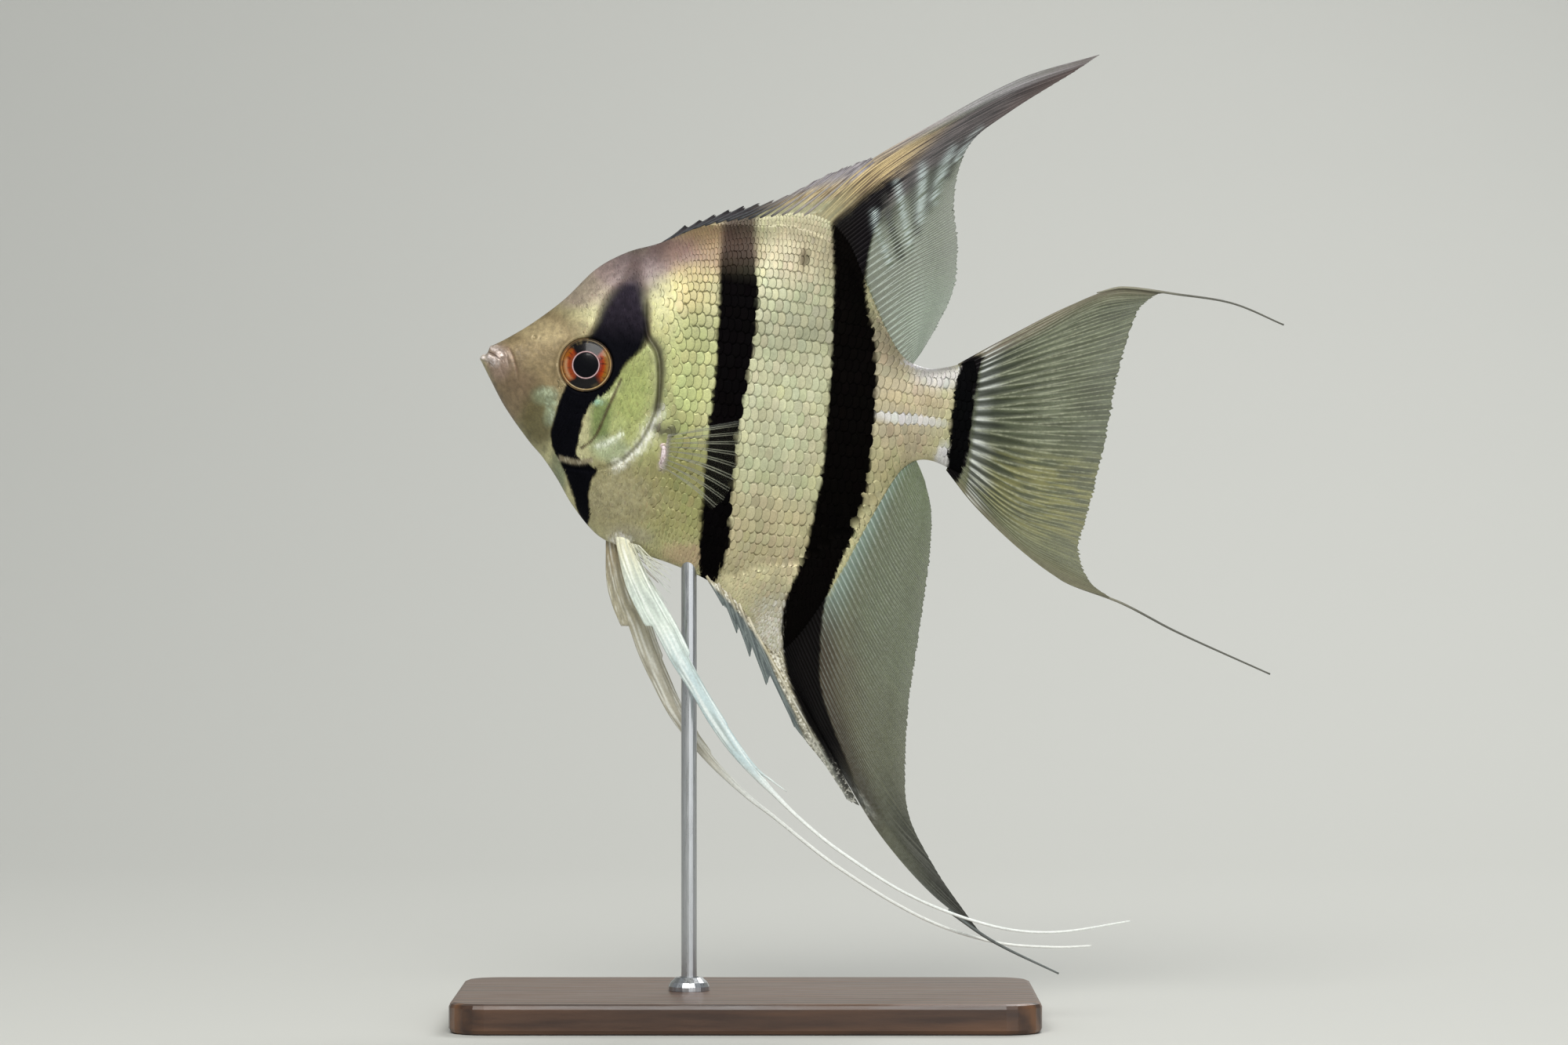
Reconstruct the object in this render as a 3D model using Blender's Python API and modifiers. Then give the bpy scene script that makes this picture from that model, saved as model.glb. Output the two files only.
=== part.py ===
"""Life-size display model of a freshwater angelfish on a plain stand.

Sizes are millimetres in the fish's own frame: "along" runs from the snout to the tail, "up" stands
square to it, and +Y is the fish's right side. The pose empty tilts that frame nose up and holds it
over the stand, whose underside is the origin. Blender 4.5, metres, +Z up.
"""
import math

import bmesh
import bpy
from mathutils import Vector

MM = 0.001

# Driving dimensions
NOSE_UP = math.radians(7.0)
SNOUT_X, SNOUT_Z = -44.0, 110.0
GAP = 0.3                   # clearance between neighbouring solids
CLEAR = 20.0                # a distance from the middle plane well outside the fish
FIN_THICKNESS = 0.75        # at a ray; the membrane between rays is thinner
MEMBRANE_SHARE = 0.7
SPINE_THICKNESS = 0.82
THREAD_RADII = (0.34, 0.28)

# Outline of the body without its fins, as (along, up)
TOP_LINE = [(-0.1, -0.4), (0.3, 0.4), (0.9, 0.65), (1.15, 1.0), (1.35, 1.9), (1.9, 2.25), (4.2, 3.8),
            (7.9, 6.7), (12.6, 11.2), (17.2, 16.8), (22.0, 20.2), (27.0, 22.3), (34.3, 26.4),
            (44.5, 29.4), (50.0, 30.6), (54.5, 29.8), (58.5, 26.3), (62.0, 20.0), (66.0, 13.1),
            (69.5, 8.6), (73.5, 7.2), (77.0, 7.8), (81.5, 9.6)]
BELLY_LINE = [(-0.1, -0.5), (0.3, -1.0), (2.0, -3.6), (5.0, -7.9), (9.6, -13.0), (12.2, -15.4),
              (14.9, -18.5), (18.0, -22.6), (22.5, -26.9), (26.6, -28.5), (36.1, -30.5), (43.0, -32.9),
              (48.7, -37.2), (53.8, -43.0), (57.5, -40.4), (62.9, -30.2), (67.9, -17.8),
              (71.4, -10.4), (75.2, -8.1), (81.5, -9.8)]
HALF_WIDTH = [(-0.1, 0.5), (0.3, 1.2), (1.2, 1.7), (3.0, 2.3), (8.0, 3.5), (14.0, 4.9), (20.0, 6.0),
              (28.0, 6.8), (36.0, 7.0), (46.0, 6.3), (56.0, 4.9), (66.0, 3.3), (74.0, 2.2), (81.5, 1.5)]
# The thick flesh ends here; beyond it a thin sheath runs out over the fin roots
FLESH_TOP = [(-0.1, 0.0), (30.0, 0.0), (46.0, 2.4), (56.0, 3.6), (64.0, 1.4), (70.0, 0.0), (81.5, 0.0)]
FLESH_BELLY = [(-0.1, 0.0), (38.0, 0.0), (46.0, 4.0), (53.8, 14.5), (60.0, 12.0), (66.0, 4.5),
               (72.0, 0.0), (81.5, 0.0)]
SHEATH_HALF = 0.95
# How square a section is: the flesh is round with a slight ridge, the sheath is nearly flat
CORE_POWERS, SHEATH_POWERS = (2.1, 0.72), (6, 0.5)
STATIONS = [-0.1, 0.1, 0.5, 1.05, 1.35, 2.2, 4.0, 6.0, 8.5, 11.0, 13.5, 15.5, 18.0, 20.5, 23.0, 25.5, 28.0,
            31.0, 34.0, 37.5, 41.0, 44.0, 47.0, 50.0, 52.0, 53.8, 55.6, 58.0, 60.5, 63.0, 65.5, 68.0,
            70.0, 72.0, 75.0, 78.5, 81.5]
SNOUT_STATIONS, HEAD_STATIONS = 11, 18  # how many of them reach past the jaws, and past the head
SIDE_POINTS = 13            # points of a section from belly to back, on one side

# Head
EYE = (17.7, 0.6)
EYE_RADIUS, EYE_DEPTH, EYE_OUT = 4.5, 2.7, 3.75
GILL_EDGE = [(25.6, 27.0), (25.6, 13.0), (26.6, 6.8), (28.8, 3.6), (29.7, -1.0), (29.7, -6.2),
             (27.8, -11.0), (24.9, -14.3), (21.2, -16.3), (16.5, -16.9), (8.0, -16.6)]
CHEEK_EDGE = [(24.6, 5.6), (22.6, 2.0), (21.9, -2.0), (20.6, -7.0), (19.4, -11.0), (19.6, -13.6)]
GILL_BULGE = 0.55           # the covers stand out by this much
GILL_BULGE_START, GILL_BULGE_RUN = 15.0, 7.0    # where along the head they begin to, and in what length
GILL_BULGE_MIDDLE, GILL_BULGE_REACH = -5.0, 13.5    # the height of their middle, and how far it spreads
GILL_FLOOR = 4.7            # how far out from the middle plane a gill cover's inner face lies
UPPER_JAW = [(0.0, 1.1), (1.7, 0.95), (3.1, 0.4), (4.1, -0.4), (5.2, -2.3), (6.1, -3.6), (6.9, -3.5),
             (6.4, -1.9), (5.6, 0.3), (4.5, 1.9), (3.3, 2.7), (3.1, 6.0), (0.0, 6.0)]
LOWER_JAW = [(-2.0, 0.9), (1.3, 0.75), (2.9, 0.1), (3.8, -0.65), (4.9, -2.5), (5.8, -4.2), (6.0, -6.4),
             (5.4, -12.0), (-2.0, -12.0)]
TAIL_CUT = 71.3

# Unpaired fins: key rays, each from its root to its tip, front of the fin first
DORSAL_RAYS = [[(51.2, 29.4), (55.8, 35.6), (60.2, 40.2), (67.0, 45.4), (82.9, 56.5), (95.7, 62.2)],
               [(53.4, 27.6), (63.5, 39.2), (79.6, 51.8), (91.8, 58.8)],
               [(55.0, 27.0), (65.5, 37.4), (82.4, 51.2)],
               [(56.8, 24.6), (66.2, 34.2), (76.2, 44.8)],
               [(58.8, 21.6), (66.6, 28.8), (74.6, 36.4)],
               [(61.6, 16.4), (69.0, 23.0), (76.2, 27.6)],
               [(64.6, 12.0), (70.4, 17.2), (76.4, 20.4)],
               [(67.6, 8.4), (71.2, 12.0), (74.3, 14.0)],
               [(70.4, 6.0), (71.4, 7.8), (72.4, 9.6)]]
ANAL_RAYS = [[(53.2, -41.4), (59.5, -49.7), (68.6, -62.3), (75.4, -70.7), (84.6, -79.0), (94.0, -84.8)],
             [(55.2, -40.8), (65.0, -56.4), (78.5, -71.6), (91.8, -82.6)],
             [(56.6, -38.8), (66.4, -54.2), (75.8, -67.0), (85.3, -75.3)],
             [(58.6, -35.8), (67.4, -50.2), (79.6, -66.6)],
             [(60.4, -32.2), (69.4, -46.0), (77.9, -57.2)],
             [(62.4, -27.6), (70.6, -39.6), (77.4, -47.8)],
             [(64.6, -22.4), (71.2, -32.4), (77.6, -39.8)],
             [(67.0, -16.6), (72.4, -25.0), (77.8, -31.0)],
             [(69.4, -11.2), (73.8, -18.4), (77.8, -22.6)],
             [(71.6, -7.8), (74.4, -12.8), (77.2, -16.4)],
             [(73.0, -7.2), (74.4, -9.4), (75.6, -11.6)]]
TAIL_RAYS = [[(78.6, 8.4), (85.3, 13.2), (95.7, 20.2), (104.2, 24.4), (112.0, 24.4)],
             [(79.0, 7.2), (91.2, 15.2), (101.2, 22.0), (109.6, 23.6)],
             [(79.0, 5.8), (92.6, 13.4), (107.0, 20.3)],
             [(79.0, 3.6), (91.4, 8.0), (105.5, 12.9)],
             [(79.0, 1.0), (92.0, 3.4), (104.8, 6.6)],
             [(79.0, -2.0), (91.6, -2.0), (104.4, -1.0)],
             [(79.0, -4.8), (91.4, -8.0), (103.6, -8.4)],
             [(79.0, -6.6), (91.2, -13.0), (102.9, -14.4)],
             [(79.0, -7.8), (90.8, -16.4), (102.2, -19.6)],
             [(79.0, -8.6), (93.0, -20.0), (104.6, -24.6)],
             [(78.8, -9.3), (84.3, -14.7), (93.2, -21.3), (100.9, -25.4), (108.3, -26.9)]]
TAIL_THREADS = [[(103.0, 23.6), (113.1, 24.3), (122.6, 23.9), (131.4, 21.4)],
                [(101.0, -24.6), (110.3, -27.6), (119.9, -31.2), (136.2, -36.3)]]
ANAL_THREAD = [(88.0, -81.6), (96.0, -85.8), (107.5, -89.8)]

# Spines that lean back in front of the soft rays: roots along the body's edge, tips along a line
DORSAL_SPINES = 13
DORSAL_SPINE_ROOTS = (28.4, 51.2)
DORSAL_SPINE_TIPS = [(31.0, 25.7), (38.5, 29.4), (46.3, 32.2), (53.4, 37.0), (60.2, 40.6)]
ANAL_SPINE_ROOTS = (42.4, 51.8)
ANAL_SPINE_TIPS = [(44.9, -36.1), (47.7, -40.3), (50.3, -43.9), (53.6, -48.2), (59.1, -54.6),
                   (69.2, -65.4)]
SPINE_SINK = 1.6            # how far a spine's root starts inside the flesh
WEB_SHARE, WEB_SCALLOP = 0.75, 0.75     # how far up the spines their scalloped web reaches
# Where the web behind the last spine ends, on the first soft ray
DORSAL_BEHIND = [(53.4, 30.6), (60.9, 39.9)]
ANAL_BEHIND = [(54.4, -42.2), (62.6, -53.4), (72.2, -66.6)]

# Paired fins
PECTORAL_ROOT = (32.2, -11.8)
PECTORAL_OUT = 6.3
PECTORAL_SPLAY = math.radians(43.0)
PECTORAL_CUP = 0.006        # outward curl of the fin blade, per mm
PECTORAL_RAYS = [[(-0.6, 2.4), (8.0, 4.4), (18.2, 6.2)],
                 [(-0.6, 1.3), (9.0, 2.2), (18.8, 3.0)],
                 [(-0.6, 0.0), (9.0, -0.2), (18.7, -1.2)],
                 [(-0.6, -1.4), (8.4, -3.2), (17.4, -5.6)],
                 [(-0.6, -2.8), (6.8, -5.6), (13.6, -8.8)]]
# (along, up, out to the side, width) down each pelvic fin, from the belly to the thread's end
LEFT_PELVIC = [(26.9, -26.6, 1.2, 2.0), (28.3, -30.0, 1.9, 2.4), (30.9, -34.4, 2.7, 3.1),
               (33.8, -39.2, 3.3, 3.5), (39.4, -46.7, 3.8, 3.3), (44.4, -53.2, 3.9, 2.9),
               (50.1, -59.8, 3.8, 2.1), (55.0, -64.2, 3.7, 1.3), (58.7, -67.5, 3.5, 0.8),
               (68.6, -73.7, 3.3, 0.6), (81.8, -79.9, 3.1, 0.54), (95.5, -83.1, 3.1, 0.52),
               (105.5, -82.9, 3.2, 0.52), (117.9, -79.5, 3.4, 0.52)]
RIGHT_PELVIC = [(25.0, -26.6, 1.2, 2.0), (25.3, -29.6, 1.9, 2.4), (26.6, -33.8, 2.7, 3.0),
                (28.6, -38.6, 3.3, 3.3), (32.4, -44.0, 3.6, 3.1), (38.8, -53.3, 3.9, 2.7),
                (45.2, -60.8, 3.8, 1.6), (50.1, -64.8, 3.7, 0.95), (57.4, -69.9, 3.5, 0.66),
                (69.0, -76.9, 3.3, 0.58), (84.1, -83.6, 3.1, 0.54), (96.1, -86.1, 3.1, 0.52),
                (106.2, -85.8, 3.2, 0.52), (112.5, -84.8, 3.4, 0.52)]
PELVIC_THICKNESS = 0.6
PELVIC_SIDES = 8            # sides of a pelvic fin's oval section
PELVIC_WEB_OUT = (1.9, 2.5) # the web of inner rays lies between these distances from the middle plane
PELVIC_WEB_RAYS = [[(28.0, -26.8), (31.2, -33.6), (34.6, -39.4)],
                   [(28.8, -26.8), (32.2, -31.8), (35.4, -36.0)],
                   [(29.6, -27.0), (32.4, -29.6), (35.4, -32.0)]]

# Stand
BASE_SIZE = (96.0, 54.0, 5.0)
BASE_CORNER = 6.0
BASE_EDGE = 0.8
ROD_RADIUS = 1.3
ROD_ALONG = 38.6            # where the rod meets the belly
ROD_SINK_BODY, ROD_SINK_BASE = 6.0, 3.0
COLLAR_RADIUS, COLLAR_HEIGHT = 3.4, 2.2


def value_at(table, along):
    """Smooth value of a table of (along, value) pairs."""
    last = len(table) - 1
    i = max(k for k in range(last) if table[k][0] <= along or k == 0)
    (x0, y0), (x1, y1) = table[i], table[i + 1]
    before, after = table[max(i - 1, 0)], table[min(i + 2, last)]
    t = min(max((along - x0) / (x1 - x0), 0.0), 1.0)
    slope0 = (y1 - before[1]) / (x1 - before[0]) * (x1 - x0)
    slope1 = (after[1] - y0) / (after[0] - x0) * (x1 - x0)
    return ((2 * t**3 - 3 * t**2 + 1) * y0 + (t**3 - 2 * t**2 + t) * slope0
            + (3 * t**2 - 2 * t**3) * y1 + (t**3 - t**2) * slope1)


def smooth_line(points, steps, even=True):
    """Points on a smooth curve through the given ones, spaced evenly by length or by index."""
    points = [Vector(p) for p in points]
    marks = [0.0]
    for a, b in zip(points, points[1:]):
        marks.append(marks[-1] + ((b - a).length if even else 1.0))
    tables = [[(m, p[axis]) for m, p in zip(marks, points)] for axis in range(len(points[0]))]
    return [Vector([value_at(table, marks[-1] * k / steps) for table in tables])
            for k in range(steps + 1)]


def shifted_line(points, distance):
    """The line moved sideways by a distance, to the right of its own direction."""
    moved = []
    for i, point in enumerate(points):
        run = Vector(points[min(i + 1, len(points) - 1)]) - Vector(points[max(i - 1, 0)])
        run.normalize()
        moved.append((point[0] + run.y * distance, point[1] - run.x * distance))
    return moved


def material(name, colour, roughness, metallic=0.0):
    made = bpy.data.materials.new(name)
    made.use_nodes = True
    shader = made.node_tree.nodes["Principled BSDF"]
    shader.inputs["Base Color"].default_value = (*colour, 1.0)
    shader.inputs["Roughness"].default_value = roughness
    shader.inputs["Metallic"].default_value = metallic
    return made


def new_object(name, mesh, finish=None, parent=None):
    """A part object, or a hidden helper where no finish is given."""
    obj = bpy.data.objects.new(name, mesh)
    (PARTS if finish else HELPERS).objects.link(obj)
    if finish:
        obj.data.materials.append(finish)
    else:
        obj.hide_render = True
        obj.display_type = "WIRE"
    obj.parent = parent
    return obj


def mesh_from(name, build):
    """A mesh that the given function fills as a bmesh."""
    work = bmesh.new()
    build(work)
    mesh = bpy.data.meshes.new(name)
    work.to_mesh(mesh)
    work.free()
    return mesh


def boolean(obj, other, operation):
    modifier = obj.modifiers.new(operation.title() + "_" + other.name, "BOOLEAN")
    modifier.operation = operation
    modifier.solver = "EXACT"
    modifier.object = other


def smooth_shade(obj, angle=40.0):
    obj.data.shade_smooth()
    obj.data.set_sharp_from_angle(angle=math.radians(angle))


# Body

def half_thickness(along, up):
    """How far the flesh reaches to one side, at a place inside the outline."""
    top, belly = value_at(TOP_LINE, along), value_at(BELLY_LINE, along)
    flesh_top = top - value_at(FLESH_TOP, along)
    flesh_belly = belly + max(value_at(FLESH_BELLY, along), 0.0)
    middle, reach = (flesh_top + flesh_belly) / 2, (flesh_top - flesh_belly) / 2
    share = min(abs(up - middle) / reach, 1.0)
    core = value_at(HALF_WIDTH, along) * (1 - share ** CORE_POWERS[0]) ** CORE_POWERS[1]
    edge = min(abs(2 * up - top - belly) / (top - belly), 1.0)
    sheath = min(SHEATH_HALF, value_at(HALF_WIDTH, along))
    return math.hypot(core, sheath * (1 - edge ** SHEATH_POWERS[0]) ** SHEATH_POWERS[1])


def gill_bulge(along, up):
    """Extra width over the gill cover, fading out on the cheek."""
    behind = min(max((along - GILL_BULGE_START) / GILL_BULGE_RUN, 0.0), 1.0)
    level = max(1.0 - ((up - GILL_BULGE_MIDDLE) / GILL_BULGE_REACH) ** 2, 0.0)
    return GILL_BULGE * behind * behind * (3 - 2 * behind) * math.sqrt(level)


def body_mesh(name, grow=0.0, bulge=False, count=len(STATIONS)):
    """The body as a loft of upright sections, closed at both ends."""

    def section(along):
        top, belly = value_at(TOP_LINE, along), value_at(BELLY_LINE, along)
        middle, reach = (top + belly) / 2, (top - belly) / 2
        side = []
        for k in range(SIDE_POINTS):
            turn = math.pi * (k / (SIDE_POINTS - 1) - 0.5)
            up = middle + reach * math.sin(turn)
            out = 0.0 if k in (0, SIDE_POINTS - 1) else half_thickness(along, up) + grow
            if bulge and out:
                out += gill_bulge(along, up)
            side.append((middle + (reach + grow) * math.sin(turn), out))
        right = [(along, out, up) for up, out in side]
        left = [(along, -out, up) for up, out in side[-2:0:-1]]
        return right + left

    def build(work):
        stations = STATIONS[:count]
        rings = []
        for along in stations:
            shift = -grow if along == stations[0] else grow if along == stations[-1] else 0.0
            rings.append([work.verts.new(Vector((a + shift, y, u)) * MM) for a, y, u in section(along)])
        around = len(rings[0])
        for ring, after in zip(rings, rings[1:]):
            for k in range(around):
                work.faces.new((ring[k], ring[(k + 1) % around], after[(k + 1) % around], after[k]))
        for ring in (rings[0], rings[-1]):
            for k in range(1, SIDE_POINTS - 2):
                work.faces.new((ring[k], ring[k + 1], ring[-k - 1], ring[-k]))
            work.faces.new((ring[0], ring[1], ring[-1]))
            work.faces.new((ring[SIDE_POINTS - 2], ring[SIDE_POINTS - 1], ring[SIDE_POINTS]))
        bmesh.ops.recalc_face_normals(work, faces=work.faces)

    return mesh_from(name, build)


def slab(name, outline, low=-CLEAR, high=CLEAR):
    """A helper: a flat outline of (along, up) pairs, thick from low to high across the fish."""

    def build(work):
        face = work.faces.new([work.verts.new(Vector((a, low, u)) * MM) for a, u in outline])
        grown = bmesh.ops.extrude_face_region(work, geom=[face])["geom"]
        lifted = [item for item in grown if isinstance(item, bmesh.types.BMVert)]
        bmesh.ops.translate(work, verts=lifted, vec=(0.0, (high - low) * MM, 0.0))
        bmesh.ops.recalc_face_normals(work, faces=work.faces)

    return new_object(name, mesh_from(name, build), parent=FISH)


def eye_ball(name, side, grow, finish=None):
    def build(work):
        bmesh.ops.create_uvsphere(work, u_segments=16, v_segments=9, radius=1.0)
        flat = Vector((EYE_RADIUS + grow, EYE_DEPTH + grow, EYE_RADIUS + grow)) * MM
        for vert in work.verts:
            x, y, z = vert.co
            vert.co = Vector((x * flat.x, z * flat.y, -y * flat.z))

    ball = new_object(name, mesh_from(name, build), finish, FISH)
    ball.location = Vector((EYE[0], side * EYE_OUT, EYE[1])) * MM
    return ball


def build_head(skin, lip, eye):
    head = new_object("head", body_mesh("head", bulge=True, count=HEAD_STATIONS), skin, FISH)
    region = shifted_line(smooth_line(GILL_EDGE, 26), GAP / 2)
    boolean(head, slab("head_region", region + [(-6.0, -16.6), (-6.0, 27.0)]), "INTERSECT")
    gill_outline = smooth_line(CHEEK_EDGE, 10) + smooth_line(GILL_EDGE[2:9], 14)[::-1]
    for side, word in ((-1, "left"), (1, "right")):
        for ball in (eye_ball(f"eye_{word}", side, 0.0, eye), eye_ball(f"socket_{word}", side, GAP)):
            ball.data.shade_smooth()
        boolean(head, bpy.data.objects[f"socket_{word}"], "DIFFERENCE")
        floor = sorted((side * (GILL_FLOOR - GAP), side * CLEAR))
        recess = slab(f"gill_recess_{word}", gill_outline, *floor)
        boolean(head, recess, "DIFFERENCE")
        mesh = body_mesh("gill_cover", bulge=True, count=HEAD_STATIONS)
        cover = new_object(f"gill_cover_{word}", mesh, skin, FISH)
        boolean(cover, bpy.data.objects["head_region"], "INTERSECT")
        inner = shrunk_outline(gill_outline, GAP)
        plate = slab(f"gill_region_{word}", inner, *sorted((side * GILL_FLOOR, side * CLEAR)))
        boolean(cover, plate, "INTERSECT")
        smooth_shade(cover)
    for name, outline in (("upper_jaw", UPPER_JAW), ("lower_jaw", LOWER_JAW)):
        jaw = new_object(name, body_mesh(name, bulge=True, count=SNOUT_STATIONS), lip, FISH)
        boolean(jaw, slab(name + "_region", outline), "INTERSECT")
        boolean(head, slab(name + "_gap", shrunk_outline(outline, -GAP)), "DIFFERENCE")
        smooth_shade(jaw)
    smooth_shade(head)


def shrunk_outline(outline, distance):
    """The closed outline moved inwards by a distance, or outwards where that is negative."""
    area = sum(a[0] * b[1] - b[0] * a[1] for a, b in zip(outline, list(outline[1:]) + [outline[0]]))
    sign = 1 if area > 0 else -1
    count = len(outline)
    moved = []
    for i, point in enumerate(outline):
        before = (Vector(point) - Vector(outline[i - 1])).normalized()
        after = (Vector(outline[(i + 1) % count]) - Vector(point)).normalized()
        across = Vector((-(before.y + after.y), before.x + after.x)) * sign
        across.normalize()
        square = max(across.dot(Vector((-after.y, after.x)) * sign), 0.5)
        moved.append(tuple(Vector(point) + across * (distance / square)))
    return moved


def build_trunk(skin):
    edge = shifted_line(smooth_line(GILL_EDGE, 26), -GAP / 2)
    far = [(-6.0, -16.9), (-6.0, -60.0)]
    trunk_outline = edge + far + [(TAIL_CUT - GAP / 2, -60.0), (TAIL_CUT - GAP / 2, 40.0), (25.9, 40.0)]
    trunk = new_object("trunk", body_mesh("trunk"), skin, FISH)
    boolean(trunk, slab("trunk_region", trunk_outline), "INTERSECT")
    boolean(trunk, ROD_SOCKET, "DIFFERENCE")
    smooth_shade(trunk)
    stalk = new_object("tail_stalk", body_mesh("tail_stalk"), skin, FISH)
    start, end = TAIL_CUT + GAP / 2, 90.0
    region = slab("stalk_region", [(start, -30.0), (end, -30.0), (end, 30.0), (start, 30.0)])
    boolean(stalk, region, "INTERSECT")
    smooth_shade(stalk)


# Fins

def soft_lines(key_rays, rays, steps):
    """Lines of a soft fin, ray and membrane in turn, smooth between the key rays."""
    rows = [smooth_line(ray, steps) for ray in key_rays]
    columns = [smooth_line([row[k] for row in rows], rays * 2, even=False) for k in range(steps + 1)]
    return [[column[r] for column in columns] for r in range(rays * 2 + 1)]


def spine_lines(outline, roots, tips, behind, steps=3):
    """Lines of a spiny fin front: spine and scalloped web in turn, the last web running on behind it."""
    lines = []
    before = None
    for i, tip in enumerate(tips):
        along = roots[0] + (roots[1] - roots[0]) * i / (len(tips) - 1)
        root = Vector((along, value_at(outline, along)))
        root -= (tip - root).normalized() * SPINE_SINK
        if before:
            low, high = root.lerp(before[0], 0.5), root.lerp(tip, WEB_SHARE).lerp(before[1], 0.5)
            lines.append(smooth_line([low, low.lerp(high, WEB_SCALLOP)], steps))
        lines.append(smooth_line([root, tip], steps))
        before = (root, tip)
    lines.append(smooth_line(behind, steps))
    return lines


def fin_sheet(name, lines, thickness, finish=None, cup=0.0, parent=None):
    """A pleated fin: lines from root to edge, thickened, every second one a thinner membrane."""
    steps = len(lines[0])

    def build(work):
        grid = [[work.verts.new(Vector((p.x, cup * p.x * abs(p.x), p.y)) * MM) for p in line]
                for line in lines]
        for line, after in zip(grid, grid[1:]):
            for k in range(steps - 1):
                work.faces.new((line[k], line[k + 1], after[k + 1], after[k]))

    fin = new_object(name, mesh_from(name, build), finish, parent or FISH)
    group = fin.vertex_groups.new(name="rays")
    for r in range(len(lines)):
        group.add(range(r * steps, (r + 1) * steps), MEMBRANE_SHARE if r % 2 else 1.0, "REPLACE")
    thick = fin.modifiers.new("Thickness", "SOLIDIFY")
    thick.thickness = thickness * MM
    thick.offset = 0.0
    thick.vertex_group = "rays"
    smooth_shade(fin, 30.0)
    return fin


def tube(name, points, steps=8):
    """A helper: a tapered thread along a smooth line of (along, up) points."""
    line = smooth_line(points, steps)
    curve = bpy.data.curves.new(name, "CURVE")
    curve.dimensions = "3D"
    curve.bevel_depth = MM
    curve.bevel_resolution = 1
    curve.use_fill_caps = True
    spline = curve.splines.new("POLY")
    spline.points.add(len(line) - 1)
    for k, (target, place) in enumerate(zip(spline.points, line)):
        target.co = (place.x * MM, 0.0, place.y * MM, 1.0)
        target.radius = THREAD_RADII[0] + (THREAD_RADII[1] - THREAD_RADII[0]) * k / steps
    guide = new_object(name + "_guide", curve, parent=FISH)
    bpy.context.view_layer.update()
    mesh = bpy.data.meshes.new_from_object(guide.evaluated_get(bpy.context.evaluated_depsgraph_get()))
    work = bmesh.new()
    work.from_mesh(mesh)
    bmesh.ops.remove_doubles(work, verts=work.verts, dist=1e-6)
    bmesh.ops.recalc_face_normals(work, faces=work.faces)
    work.to_mesh(mesh)
    work.free()
    bpy.data.objects.remove(guide)
    return new_object(name, mesh, parent=FISH)


def join_all(obj, helpers):
    """Joins several helpers to a part as one body."""
    group = bpy.data.collections.new(obj.name + "_joined")
    HELPERS.children.link(group)
    for helper in helpers:
        HELPERS.objects.unlink(helper)
        group.objects.link(helper)
    modifier = obj.modifiers.new("Join", "BOOLEAN")
    modifier.operand_type = "COLLECTION"
    modifier.operation = "UNION"
    modifier.solver = "EXACT"
    modifier.collection = group


def trimmed_fin(fin, others):
    """Joins the other shapes to a fin and trims the whole to the body."""
    join_all(fin, others)
    boolean(fin, BODY_CUTTER, "DIFFERENCE")


def build_unpaired_fins(finish):
    dorsal = fin_sheet("dorsal_fin", soft_lines(DORSAL_RAYS, 10, 7), FIN_THICKNESS, finish)
    tips = smooth_line(DORSAL_SPINE_TIPS, DORSAL_SPINES - 1)
    spiny = spine_lines(TOP_LINE, DORSAL_SPINE_ROOTS, tips, DORSAL_BEHIND)
    trimmed_fin(dorsal, [fin_sheet("dorsal_spines", spiny, SPINE_THICKNESS)])
    anal = fin_sheet("anal_fin", soft_lines(ANAL_RAYS, 11, 7), FIN_THICKNESS, finish)
    tips = [Vector(tip) for tip in ANAL_SPINE_TIPS]
    spiny = spine_lines(BELLY_LINE, ANAL_SPINE_ROOTS, tips, ANAL_BEHIND)
    trimmed_fin(anal, [fin_sheet("anal_spines", spiny, SPINE_THICKNESS), tube("anal_thread", ANAL_THREAD)])
    tail = fin_sheet("tail_fin", soft_lines(TAIL_RAYS, 10, 6), FIN_THICKNESS, finish)
    trimmed_fin(tail, [tube(f"tail_thread_{i}", line) for i, line in enumerate(TAIL_THREADS)])


def build_pectoral(word, side, finish):
    hinge = bpy.data.objects.new(f"pectoral_hinge_{word}", None)
    PARTS.objects.link(hinge)
    hinge.parent = FISH
    hinge.location = Vector((PECTORAL_ROOT[0], side * PECTORAL_OUT, PECTORAL_ROOT[1])) * MM
    hinge.rotation_euler = (0.0, 0.0, side * PECTORAL_SPLAY)
    fin = fin_sheet(f"pectoral_fin_{word}", soft_lines(PECTORAL_RAYS, 7, 4), FIN_THICKNESS, finish,
                    side * PECTORAL_CUP, hinge)
    boolean(fin, BODY_CUTTER, "DIFFERENCE")


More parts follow.
